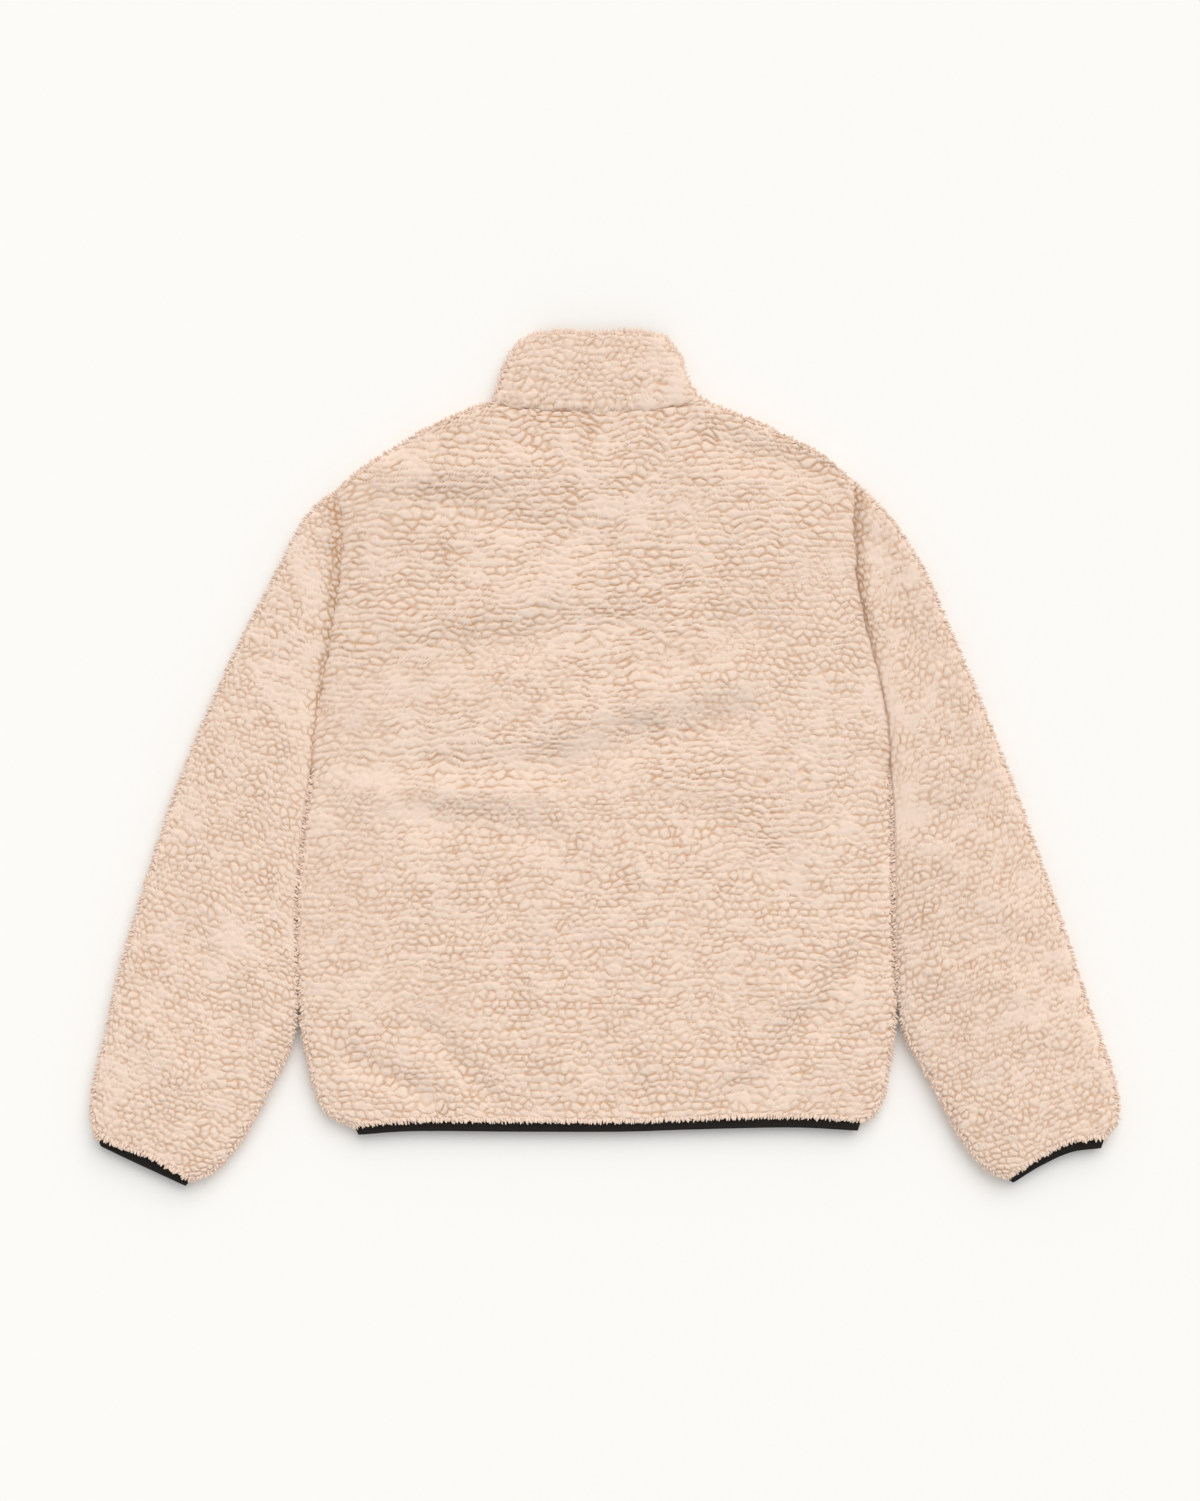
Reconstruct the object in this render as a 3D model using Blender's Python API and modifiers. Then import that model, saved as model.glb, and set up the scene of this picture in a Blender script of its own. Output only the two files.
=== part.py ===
"""Reversible pile fleece jacket, laid flat with its back up and zipped.

Sizes are millimetres: x to the right, y towards the collar, z up from the surface that it lies on.
Each piece is a closed wall of cloth, lofted between the lines of the cut as it lies. The fronts lie
on the surface and the back lies on them, so they meet in the folds at the sides and the shoulders.
Sleeves and cuffs are flattened tubes. The collar and the hem binding are flattened bands, open at
the zip. Left and right are the wearer's, and the wearer's left is at -x.
"""

import bmesh
import bpy
import numpy as np

MM = 0.001  # metres in a millimetre

# Layers
GAP = 0.3  # between pieces that lie on each other
SEAM_GAP = 0.4  # between pieces that are sewn edge to edge
NECK_GAP = 0.8  # the same at the neck and the hem, where the seam bends most
FOLD_Z = 10.3  # height of the side, shoulder and sleeve folds
BODY_TOP = 20.8  # top of the back, over two layers of pile fleece
SLEEVE_TOP = 24.0
COLLAR_TOP_Z = 22.5
HOLLOW = 1.6  # half of the space between two layers
WALL_AT_FOLD = 7.0  # thickness of the cloth across a fold
FOLD_REACH = 16.0  # how far a fold's roll reaches in from its edge
SEAM_REACH = 13.0
CROWN_SHARE = 0.24  # part of the height that is gained beyond the roll
CROWN_REACH = 75.0
UNDERARM_REACH = 22.0  # stretch over which the armhole seam turns into the side fold
FOLD_LIMIT = 6.5  # most that folds raise or lower a face where they meet

# Share of its height that a layer keeps at an edge
AT_FOLD = 0.0
AT_ARMHOLE = 0.42
AT_NECK = 0.5
AT_HEM = 0.5
AT_CUFF = 0.45
AT_COLLAR_EDGE = 0.42
AT_FRONT_EDGE = 0.75
UNDER_SEAM = 0.75  # the same on the side that it lies on

# Lengths of the cut, along the middle of each piece
SIDE_LENGTH = 345.0
ARMHOLE_LENGTH = 272.0
SHOULDER_SPAN = 490.0
SLEEVE_LENGTH = 480.0
COLLAR_HEIGHT = 66.0
HEM_WIDTH = 480.0
CUFF_WIDTH = 98.0

# Elastic binding, folded over the raw edges of the hem and the cuffs
BAND_TOP = 15.0
BAND_BOTTOM = 5.6
BAND_HOLLOW = 0.3
BAND_WIDTH = 9.5
BAND_ROLL = 2.2  # radius of its folded edge
BAND_REACHES = (6.0, 6.0, 1.0, BAND_ROLL)
AT_BAND_EDGE = 0.58

# Zip
ZIP_X = -2.4
ZIP_HALF = 6.0  # from the zip's middle to each front's edge
TAPE_IN, TAPE_OUT = 2.4, 14.0
TAPE_Z = (7.0, 8.0)
TAPE_SEAT = 6.7  # inner face of a front where the tape is sewn to it
TAPE_SEAT_WIDTH = 11.5  # how far in from the front's edge the tape is sewn
TEETH_HALF = 2.1
TEETH_Z = (6.2, 8.8)
BOX_HALF = 3.4
BOX_Z = (5.7, 9.3)
BOX_LENGTH = 9.0
SLIDER_HALF = 4.2
SLIDER_LENGTH = 12.0
SLIDER_PLATES = (4.4, 5.9, 9.1, 10.3)  # outer plate's faces, then inner plate's
SLIDER_WEB_HALF = 1.6
EAR_X = (2.0, 3.0)
EAR_HALF = 1.6
EAR_LOW = 0.7
PULL_AXIS_Z = 1.5
PULL_PIN_RADIUS = 0.8
PULL_PIN_HALF = 1.7
PULL_THICKNESS = 1.2
PULL_NECK_HALF, PULL_HALF = 1.4, 3.5
PULL_NECK, PULL_LENGTH = 5.0, 22.0

# Points where lines of the cut meet
LEFT_UNDERARM, RIGHT_UNDERARM = (-278, -11), (271, -11)
LEFT_SHOULDER_TIP, RIGHT_SHOULDER_TIP = (-253, 256), (236, 264)
LEFT_NECK_POINT, RIGHT_NECK_POINT = (-107, 339), (92, 341)
LEFT_HEM_END, RIGHT_HEM_END = (-238, -349), (244, -344)
LEFT_COLLAR_TIP, RIGHT_COLLAR_TIP = (-67, 402), (59, 399)
FRONT_NECK_Y, FRONT_COLLAR_Y = 292.0, 358.0  # at the zip
LEFT_EDGE_X, RIGHT_EDGE_X = ZIP_X - ZIP_HALF, ZIP_X + ZIP_HALF

# Lines of the cut as it lies, each a smooth line through its points
LEFT_SIDE = [
    LEFT_HEM_END, (-255, -343), (-268, -330), (-277, -305), (-285, -272), (-290, -229),
    (-292, -182), (-292, -134), (-288, -96), (-284, -54), LEFT_UNDERARM,
]
RIGHT_SIDE = [
    RIGHT_HEM_END, (257, -337), (265, -320), (270, -296), (275, -263), (277, -229),
    (275, -182), (273, -134), (273, -87), (273, -49), RIGHT_UNDERARM,
]
LEFT_ARMHOLE = [
    LEFT_UNDERARM, (-273, 27), (-266, 70), (-258, 113), (-251, 155), (-247, 193), (-247, 227),
    LEFT_SHOULDER_TIP,
]
RIGHT_ARMHOLE = [
    RIGHT_UNDERARM, (268, 30), (262, 65), (254, 98), (245, 132), (238, 165), (235, 198),
    (234, 231), RIGHT_SHOULDER_TIP,
]
LEFT_SHOULDER = [LEFT_SHOULDER_TIP, (-232, 274), (-203, 293), (-171, 312), (-138, 328), LEFT_NECK_POINT]
RIGHT_SHOULDER = [RIGHT_NECK_POINT, (117, 331), (140, 322), (179, 303), (209, 287), RIGHT_SHOULDER_TIP]
BACK_NECK = [LEFT_NECK_POINT, (-57, 333), (-4, 332), (45, 334), RIGHT_NECK_POINT]
LEFT_FRONT_NECK = [LEFT_NECK_POINT, (-94, 317), (-71, 301), (-40, 294), (LEFT_EDGE_X, FRONT_NECK_Y)]
RIGHT_FRONT_NECK = [(RIGHT_EDGE_X, FRONT_NECK_Y), (32, 294), (60, 302), (80, 318), RIGHT_NECK_POINT]
HEM = [LEFT_HEM_END, (-180, -344), (-80, -344), (15, -344), (81, -342), (176, -340), RIGHT_HEM_END]
HEM_EDGE = [(-234, -357), (-180, -353.5), (-80, -354), (15, -354), (81, -352), (176, -350), (241, -353)]
COLLAR_LEFT = [LEFT_NECK_POINT, (-100, 355), (-95, 371), (-89, 384), (-80, 395), LEFT_COLLAR_TIP]
COLLAR_RIGHT = [RIGHT_NECK_POINT, (83, 352), (76, 368), (70, 384), RIGHT_COLLAR_TIP]
COLLAR_BACK_EDGE = [LEFT_COLLAR_TIP, (-40, 405), (-10, 403), (24, 406), RIGHT_COLLAR_TIP]
COLLAR_LEFT_EDGE = [LEFT_COLLAR_TIP, (-50, 384), (-30, 369), (LEFT_EDGE_X, FRONT_COLLAR_Y)]
COLLAR_RIGHT_EDGE = [(RIGHT_EDGE_X, FRONT_COLLAR_Y), (24, 367), (43, 381), RIGHT_COLLAR_TIP]

# Sleeves, each with its outer fold, inner fold, cuff seam and cuff's folded edge
SLEEVES = {
    "left": {
        "away": -1,
        "armhole": LEFT_ARMHOLE,
        "outer": [
            LEFT_SHOULDER_TIP, (-284, 227), (-314, 170), (-353, 94), (-387, 18), (-416, -58),
            (-440, -134), (-460, -201), (-473, -260), (-484, -305), (-487, -336), (-482, -360),
        ],
        "inner": [
            LEFT_UNDERARM, (-284.6, -54), (-289, -96), (-293, -136), (-293.2, -182), (-292, -225),
            (-295, -258), (-304, -288), (-318, -313), (-333, -343), (-353, -373), (-373, -393),
            (-393, -401),
        ],
        "cuff": [(-482, -360), (-455, -370), (-425, -382), (-393, -401)],
        "cuff_edge": [(-479, -368), (-454, -380), (-426, -393), (-398, -406)],
    },
    "right": {
        "away": 1,
        "armhole": RIGHT_ARMHOLE,
        "outer": [
            RIGHT_SHOULDER_TIP, (269, 230), (299, 186), (326, 126), (359, 48), (388, -26),
            (413, -96), (437, -165), (457, -228), (475, -277), (486, -317), (487, -343), (475, -361),
        ],
        "inner": [
            RIGHT_UNDERARM, (273.6, -49), (274.4, -92), (274.6, -139), (276.2, -182), (279, -225),
            (285, -261), (301, -292), (318, -323), (334, -353), (349, -375), (364, -391),
            (382, -399),
        ],
        "cuff": [(475, -361), (442, -364), (412, -379), (382, -399)],
        "cuff_edge": [(472, -370), (443, -374), (414, -387), (388, -403)],
    },
}

# Large folds: from x, y to x, y, half width, height (a trough's is negative)
BACK_FOLDS = [
    (-166, -8, -42, -8, 17, -4.2),
    (-42, -8, 34, 16, 17, -4.5),
    (34, 16, 129, 38, 17, -5.1),
    (-42, 36, 34, 58, 20, 3.8),
    (34, 58, 138, 76, 20, 4.2),
    (-166, -56, -61, -73, 18, -4.8),
    (-240, -32, -60, -33, 16, 3.2),
    (-194, 127, -42, 160, 18, 3.8),
    (-128, 100, 34, 128, 18, -3.8),
    (115, 120, 145, 124, 18, -3.8),
    (-205, 268, -71, 276, 16, 3.5),
    (-166, 242, -4, 208, 20, -3.8),
    (91, 305, 195, 272, 17, -4.2),
    (85, -58, 110, -60, 18, -2.9),
    (167, -92, 176, -138, 18, -2.9),
    (252, -178, 205, -248, 16, -4.8),
    (205, -248, 138, -318, 16, -4.8),
    (228, -168, 176, -226, 15, 3.8),
    (176, -226, 125, -290, 15, 3.8),
    (-242, -284, -168, -322, 13, -4.5),
    (-166, -260, -110, -322, 13, -4.2),
    (-9, -182, -8, -318, 15, -2.9),
    (-57, -110, -55, -280, 17, 2.6),
    (43, -110, 45, -280, 17, 2.6),
    (34, -308, 36, -325, 10, -2.9),
]
SLEEVE_FOLDS = {
    "left": [
        (-268, 190, -286, 60, 15, -3.2),
        (-330, 60, -372, -70, 20, 2.9),
        (-390, -170, -352, -250, 18, -2.6),
        (-440, -250, -400, -300, 18, 2.6),
        (-330, -200, -318, -260, 16, 2.2),
    ],
    "right": [
        (262, 200, 282, 120, 17, -4.2),
        (300, 100, 330, 20, 22, -3.2),
        (300, -60, 356, -44, 18, -2.9),
        (330, -100, 392, -150, 20, 2.6),
        (318, -205, 400, -222, 18, 2.9),
        (350, -290, 430, -250, 18, 2.2),
        (380, -330, 400, -370, 14, 1.9),
    ],
}

# Steps of points across a roll, in from its edge
FOLD_STEPS = (0, 2.2, 8.0, 16.0)
SEAM_STEPS = (0, 5.0, 14.0)
CORNER_STEPS = (0, 4.0, 10.0, 20.0, 33.0)
CUFF_STEPS = (0, 5.0, 14.0, 26.0, 42.0)
BAND_END_STEPS = (0, 2.0, 6.0)

# Parts of each front neck seam, from the neck point to the zip, where its points lie
NECK_PARTS = np.array((0, 0.022, 0.08, 0.16, 0.30, 0.44, 0.58, 0.70, 0.80, 0.90, 1.0))
BACK_NECK_FROM, BACK_NECK_TO = 0.30, 0.706  # parts of the way from shoulder tip to shoulder tip
FRONT_NECK_FROM = 0.6  # part of the way from shoulder tip to zip
UNDERARM_V = 0.55  # where the underarm lies between the hem, 0, and the shoulder, 1

FLEECE = {"colour": (0.82, 0.66, 0.51), "roughness": 0.95, "metallic": 0.0}
ELASTIC = {"colour": (0.020, 0.016, 0.014), "roughness": 0.8, "metallic": 0.0}
TAPE = {"colour": (0.60, 0.47, 0.35), "roughness": 0.9, "metallic": 0.0}
MOULDED = {"colour": (0.62, 0.50, 0.38), "roughness": 0.45, "metallic": 0.0}
PAINTED_METAL = {"colour": (0.55, 0.44, 0.33), "roughness": 0.35, "metallic": 0.4}


def smooth_line(points, parts):
    """The points at these parts, 0 to 1, of the length of a Catmull-Rom line through the points."""
    points = np.array(points, float)
    ends = np.vstack([2 * points[0] - points[1], points, 2 * points[-1] - points[-2]])
    t = np.linspace(0, 1, 16, endpoint=False)[:, None]
    runs = [
        0.5 * (2 * b + (c - a) * t + (2 * a - 5 * b + 4 * c - d) * t**2 + (3 * b - a - 3 * c + d) * t**3)
        for a, b, c, d in zip(ends, ends[1:], ends[2:], ends[3:])
    ]
    line = np.vstack([*runs, points[-1:]])
    length = np.concatenate([[0], np.cumsum(np.hypot(*np.diff(line, axis=0).T))])
    wanted = np.asarray(parts) * length[-1]
    return np.stack([np.interp(wanted, length, line[:, axis]) for axis in (0, 1)], -1)


def line(points, shift=(0, 0)):
    """A line of the cut as a function of the part of its length, moved by shift."""
    return lambda parts: smooth_line(points, parts) + np.array(shift)


def joined(first, second, turn):
    """One line: the first up to the part turn, and then the second."""

    def both(parts):
        low = smooth_line(first, np.clip(parts / turn, 0, 1))
        high = smooth_line(second, np.clip((parts - turn) / (1 - turn), 0, 1))
        return np.where(np.asarray(parts)[..., None] < turn, low, high)

    return both


def rise(distance, reach):
    """From 0 at an edge to 1 at its reach and beyond, as a quarter of an ellipse."""
    return np.sqrt(1 - (1 - np.clip(distance / reach, 0, 1)) ** 2)


def ease(distance, reach):
    """From 0 to 1 over the reach, level at both ends."""
    t = np.clip(distance / reach, 0, 1)
    return t * t * (3 - 2 * t)


def relief(points, folds):
    """Height that the folds add: each a soft ridge or trough on a straight run that fades at its ends.

    Where folds meet, their sum is held softly within the limit, so the cloth keeps its thickness.
    """
    height = np.zeros(points.shape[:-1])
    for x0, y0, x1, y1, width, amount in folds:
        run = np.array([x1 - x0, y1 - y0], float)
        length = np.hypot(*run)
        along = (points - (x0, y0)) @ run / length
        aside = (points - (x0, y0)) @ (-run[1], run[0]) / length
        past = np.maximum(np.maximum(-along, along - length), 0)
        height += amount * np.exp(-((aside / width) ** 2) - (past / width) ** 2)
    return height / (1 + (height / FOLD_LIMIT) ** 4) ** 0.25


def steps(length, start, between, end):
    """Parts of a length: steps in from its start and its end, and what lies between them.

    That is a list of parts, or the number of even steps.
    """
    length = np.asarray(length, float)[..., None]
    first = np.array(start) / length
    last = 1 - np.array(end[::-1]) / length
    if isinstance(between, int):
        even = np.linspace(0, 1, between + 2)[1:-1]
        between = first[..., -1:] + (last[..., :1] - first[..., -1:]) * even
    else:
        between = np.broadcast_to(between, length.shape[:-1] + (len(between),))
    return np.concatenate([first, between, last], -1)


def span(one, other):
    return np.hypot(*np.moveaxis(other - one, -1, 0))


def leaf(lines, u, v, seat, full, keeps, reaches, insets=(0, 0, 0, 0), hollow=HOLLOW, folds=(), tape=False,
         roll=0.0):
    """One layer of a piece: the grids of points of its outer and inner face.

    lines are the left, right, bottom and top line, u runs from left to right and v from bottom to
    top, each 0 to 1. The plan is the patch blended between the four lines. The outer face lies at
    full and comes down to seat round the edges: keeps gives the share of the height kept at each
    edge, and reaches how far its roll goes. The inner face is insets in from the edges, hollow away
    from the seat. With roll, both faces close on each other at the top line.
    """
    left, right, bottom, top = lines
    width = span(left(v), right(v))
    height = span(bottom(u), top(u))
    distances = (u * width, (1 - u) * width, v * height, (1 - v) * height)

    def plan(a, b):
        a1, b1 = a[..., None], b[..., None]
        corners = [left(np.float64(0)), right(np.float64(0)), left(np.float64(1)), right(np.float64(1))]
        sides = (1 - a1) * left(b) + a1 * right(b) + (1 - b1) * bottom(a) + b1 * top(a)
        low = (1 - a1) * corners[0] + a1 * corners[1]
        high = (1 - a1) * corners[2] + a1 * corners[3]
        return sides - (1 - b1) * low - b1 * high

    share = np.ones_like(u)
    inside = np.ones_like(u)
    crown = np.ones_like(u)
    for distance, keep, reach in zip(distances, keeps, reaches):
        share = share * (keep + (1 - keep) * rise(distance, reach))
        open_edge = np.clip(np.asarray(keep) / AT_ARMHOLE, 0, 1) * 0.6
        inside = inside * (open_edge + (1 - open_edge) * ease(distance, 2 * FOLD_REACH))
        crown = crown * ease(distance + FOLD_REACH * open_edge, CROWN_REACH)
    outer_plan = plan(u, v)
    level = full - seat
    if level > 0:
        level = level * (1 - CROWN_SHARE + CROWN_SHARE * crown)
    outer_z = seat + level * share + relief(outer_plan, folds) * share

    u_inner = (insets[0] + u * (width - insets[0] - insets[1])) / width
    v_inner = (insets[2] + v * (height - insets[2] - insets[3])) / height
    inner_plan = plan(u_inner, v_inner)
    inner_z = seat + np.sign(full - seat) * hollow * inside
    if tape:
        sewn = 1 - ease(np.abs(inner_plan[..., 0] - ZIP_X) - ZIP_HALF - TAPE_SEAT_WIDTH, 10)
        inner_z = inner_z + (TAPE_SEAT - inner_z) * sewn
    if roll:
        closing = 1 - rise(distances[3], roll)
        inner_z = inner_z + np.sign(full - seat) * closing * (roll - 2 * hollow)
    return np.dstack([outer_plan, outer_z]), np.dstack([inner_plan, inner_z])


def material(name, finish):
    made = bpy.data.materials.new(name)
    made.use_nodes = True
    shader = made.node_tree.nodes["Principled BSDF"]
    shader.inputs["Base Color"].default_value = (*finish["colour"], 1)
    shader.inputs["Roughness"].default_value = finish["roughness"]
    shader.inputs["Metallic"].default_value = finish["metallic"]
    made.diffuse_color = (*finish["colour"], 1)
    return made


def add_object(name, mesh, finish, collection):
    """An object of the mesh, with its normals out, shaded smooth but for its edges."""
    shell = bmesh.new()
    shell.from_mesh(mesh)
    bmesh.ops.recalc_face_normals(shell, faces=shell.faces)
    shell.to_mesh(mesh)
    shell.free()
    mesh.shade_smooth()
    mesh.set_sharp_from_angle(angle=np.radians(50))
    mesh.materials.append(material(f"{name}_finish", finish))
    made = bpy.data.objects.new(name, mesh)
    collection.objects.link(made)
    return made


def wall(name, outer, inner, finish, collection, tube=False):
    """A closed wall between two grids of points, with rims round its edges. A tube's columns close up."""
    rows, columns = outer.shape[:2]
    out = np.arange(rows * columns).reshape(rows, columns)
    if tube:
        out = np.hstack([out, out[:, :1]])
    into = out + rows * columns

    def quads(a, b, c, d):
        return np.stack([a, b, c, d], -1).reshape(-1, 4)

    faces = [
        quads(out[:-1, :-1], out[:-1, 1:], out[1:, 1:], out[1:, :-1]),
        quads(into[:-1, :-1], into[1:, :-1], into[1:, 1:], into[:-1, 1:]),
        quads(out[0, :-1], into[0, :-1], into[0, 1:], out[0, 1:]),
        quads(out[-1, :-1], out[-1, 1:], into[-1, 1:], into[-1, :-1]),
    ]
    if not tube:
        faces.append(quads(out[:-1, 0], out[1:, 0], into[1:, 0], into[:-1, 0]))
        faces.append(quads(out[:-1, -1], into[:-1, -1], into[1:, -1], out[1:, -1]))
    points = np.vstack([outer.reshape(-1, 3), inner.reshape(-1, 3)]) * MM
    mesh = bpy.data.meshes.new(name)
    mesh.from_pydata(points.tolist(), [], np.vstack(faces).tolist())
    return add_object(name, mesh, finish, collection)


def body_rows():
    """Rows of points from hem to shoulder. Above the underarm they are the sleeves' columns."""
    side = steps(SIDE_LENGTH, CORNER_STEPS, 11, (0, 8.0))
    return np.concatenate([side * UNDERARM_V, UNDERARM_V + armhole_parts()[1:] * (1 - UNDERARM_V)])


def armhole_parts():
    """Parts of the armhole's length, from the underarm to the shoulder, where its points lie."""
    return steps(ARMHOLE_LENGTH, FOLD_STEPS, 9, FOLD_STEPS)


def side_keep(v):
    """Share of the height kept at a body edge: none on the side fold, and some along the armhole."""
    above = (v - UNDERARM_V) / (1 - UNDERARM_V) * ARMHOLE_LENGTH
    return AT_ARMHOLE * rise(above, UNDERARM_REACH) * rise(ARMHOLE_LENGTH - above, FOLD_REACH)


def side_inset(v):
    """How far in from a body edge the inner face starts: the cloth's thickness where it folds."""
    return WALL_AT_FOLD * (1 - side_keep(v) / AT_ARMHOLE)


def top_keep(inside, keep):
    """Share of the height kept at the top edge, some way inside the neck: none on the shoulder folds."""
    return keep * rise(np.maximum(inside, 0), FOLD_REACH)


def shoulders_and_neck(left, neck, right, first, last):
    """The back's top line, with the neck points at the parts first and last."""

    def top(parts):
        parts = np.asarray(parts)
        one = smooth_line(left, np.clip(parts / first, 0, 1))
        two = smooth_line(neck, np.clip((parts - first) / (last - first), 0, 1))
        three = smooth_line(right, np.clip((parts - last) / (1 - last), 0, 1))
        middle = np.where((parts < last)[..., None], two, three)
        return np.where((parts < first)[..., None], one, middle)

    return top


def grid(columns, rows):
    """u and v on a grid whose columns may differ from row to row."""
    columns = np.asarray(columns)
    return np.broadcast_to(columns, (len(rows), columns.shape[-1])), np.broadcast_to(
        rows[:, None], (len(rows), columns.shape[-1])
    )


def make_back(collection):
    """The whole back: folds at its sides and shoulders, and seams at the armholes, neck and hem."""
    first, last = BACK_NECK_FROM, BACK_NECK_TO
    lines = (
        joined(LEFT_SIDE, LEFT_ARMHOLE, UNDERARM_V),
        joined(RIGHT_SIDE, RIGHT_ARMHOLE, UNDERARM_V),
        line(HEM),
        shoulders_and_neck(LEFT_SHOULDER, BACK_NECK, RIGHT_SHOULDER, first, last),
    )
    rows = body_rows()
    middle = np.concatenate([
        np.linspace(0.06, first, 8), np.linspace(first, last, 13)[1:-1], np.linspace(last, 0.94, 8),
    ])
    widths = span(lines[0](rows), lines[1](rows))
    u, v = grid(steps(widths, FOLD_STEPS, middle, FOLD_STEPS), rows)
    neck = top_keep(np.minimum(u - first, last - u) * SHOULDER_SPAN, AT_NECK)
    keeps = (side_keep(v), side_keep(v), AT_HEM, neck)
    insets = (side_inset(v), side_inset(v), 0, WALL_AT_FOLD * (1 - neck / AT_NECK))
    reaches = (FOLD_REACH, FOLD_REACH, SEAM_REACH, SEAM_REACH)
    outer, inner = leaf(
        lines, u, v, FOLD_Z + GAP / 2, BODY_TOP, keeps, reaches, insets, folds=BACK_FOLDS
    )
    wall("back", outer, inner, FLEECE, collection)


def make_front(name, lines, at_left, collection):
    """A front, from its side fold to the zip. It lies flat on the surface."""
    rows = body_rows()
    widths = span(lines[0](rows), lines[1](rows))
    shoulder_parts = (0.11, 0.2, 0.4)
    neck_parts = FRONT_NECK_FROM + (1 - FRONT_NECK_FROM) * NECK_PARTS[:-1]
    u, v = grid(steps(widths, FOLD_STEPS, (*shoulder_parts, *neck_parts), (0,)), rows)
    neck = top_keep((u - FRONT_NECK_FROM) * SHOULDER_SPAN / 2, UNDER_SEAM)
    side = side_keep(v) / AT_ARMHOLE * UNDER_SEAM
    keeps = [side, AT_FRONT_EDGE, UNDER_SEAM, neck]
    insets = [side_inset(v), 0, 0, WALL_AT_FOLD * (1 - neck / UNDER_SEAM)]
    if not at_left:
        u = 1 - u
        keeps[:2] = keeps[1::-1]
        insets[:2] = insets[1::-1]
        lines = (lines[1], lines[0], *lines[2:])
    reaches = (FOLD_REACH, FOLD_REACH, SEAM_REACH, SEAM_REACH)
    outer, inner = leaf(lines, u, v, FOLD_Z - GAP / 2, 0.0, keeps, reaches, insets, tape=True)
    wall(name, outer, inner, FLEECE, collection)


def make_fronts(collection):
    """Both fronts, each named lines: its side, the zip's edge, the hem and the shoulder with the neck."""
    hem_y = smooth_line(HEM, 0.5)[1]
    hem_left = [p for p in HEM if p[0] < LEFT_EDGE_X] + [(LEFT_EDGE_X, hem_y)]
    hem_right = [(RIGHT_EDGE_X, hem_y)] + [p for p in HEM if p[0] > RIGHT_EDGE_X]
    left = (
        joined(LEFT_SIDE, LEFT_ARMHOLE, UNDERARM_V),
        line([(LEFT_EDGE_X, hem_y), (LEFT_EDGE_X, FRONT_NECK_Y)]),
        line(hem_left),
        joined(LEFT_SHOULDER, LEFT_FRONT_NECK, FRONT_NECK_FROM),
    )
    make_front("front_left", left, True, collection)
    right = (
        joined(RIGHT_SIDE, RIGHT_ARMHOLE, UNDERARM_V),
        line([(RIGHT_EDGE_X, hem_y), (RIGHT_EDGE_X, FRONT_NECK_Y)]),
        line(hem_right),
        joined(RIGHT_FRONT_NECK, RIGHT_SHOULDER, 1 - FRONT_NECK_FROM),
    )
    make_front("front_right", right, False, collection)


def ring(upper, lower):
    """A flattened tube's grid: the upper layer and, back from its last fold, the lower layer."""
    return np.hstack([upper, lower[:, -2:0:-1]])


def band(upper, lower_left, lower_right):
    """A flattened band's grid, from its left end under the left fold and over to its right end."""
    return np.hstack([lower_left[:, :0:-1], upper, lower_right[:, -2::-1]])


def make_sleeve(side, cut, collection):
    """A sleeve: a flattened tube that turns from the armhole to the cuff."""
    shift = (cut["away"] * SEAM_GAP, 0)
    lines = (
        line(cut["outer"], shift),
        line(cut["inner"], shift),
        line(cut["armhole"][::-1], shift),
        line(cut["cuff"], shift),
    )
    rows = steps(SLEEVE_LENGTH, SEAM_STEPS, 12, CUFF_STEPS)
    first_row = 1 - armhole_parts()[::-1]
    widths = span(lines[0](rows), lines[1](rows))
    spread = steps(widths, FOLD_STEPS, 9, FOLD_STEPS)
    share = ease(rows, rows[3])[:, None]
    u, v = grid(first_row * (1 - share) + spread * share, rows)
    reaches = (FOLD_REACH,) * 2 + (SEAM_REACH,) * 2
    insets = (WALL_AT_FOLD, WALL_AT_FOLD, 0, 0)
    upper = leaf(
        lines, u, v, FOLD_Z, SLEEVE_TOP, (AT_FOLD, AT_FOLD, AT_ARMHOLE, AT_CUFF), reaches, insets,
        folds=SLEEVE_FOLDS[side],
    )
    lower = leaf(lines, u, v, FOLD_Z, 0.0, (AT_FOLD, AT_FOLD, UNDER_SEAM, UNDER_SEAM), reaches, insets)
    outer, inner = (ring(above, below) for above, below in zip(upper, lower))
    wall(f"sleeve_{side}", outer, inner, FLEECE, collection, tube=True)


def band_leaf(lines, u, v, upper):
    """One layer of an elastic binding, closed along its folded edge."""
    full = BAND_TOP if upper else BAND_BOTTOM
    keeps = (AT_FOLD, AT_FOLD, 1, AT_BAND_EDGE)
    insets = (BAND_ROLL * 2, BAND_ROLL * 2, 0, 0)
    return leaf(
        lines, u, v, FOLD_Z, full, keeps, BAND_REACHES, insets, BAND_HOLLOW, roll=BAND_ROLL
    )


def make_cuff_binding(side, cut, collection):
    """Elastic binding round a cuff."""
    seam, edge = np.array(cut["cuff"], float), np.array(cut["cuff_edge"], float)
    down = edge.mean(0) - seam.mean(0)
    shift = down / np.hypot(*down) * SEAM_GAP + (cut["away"] * SEAM_GAP, 0)
    lines = (line([seam[0], edge[0]], shift), line([seam[-1], edge[-1]], shift), line(seam, shift),
             line(edge, shift))
    u, v = grid(steps(CUFF_WIDTH, BAND_END_STEPS, 6, BAND_END_STEPS), band_rows())
    upper, lower = band_leaf(lines, u, v, True), band_leaf(lines, u, v, False)
    outer, inner = (ring(above, below) for above, below in zip(upper, lower))
    wall(f"cuff_binding_{side}", outer, inner, ELASTIC, collection, tube=True)


def band_rows():
    """Rows across a binding, from its seam to its folded edge."""
    return steps(BAND_WIDTH, (0,), 1, (0, 0.7, BAND_ROLL))


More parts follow.
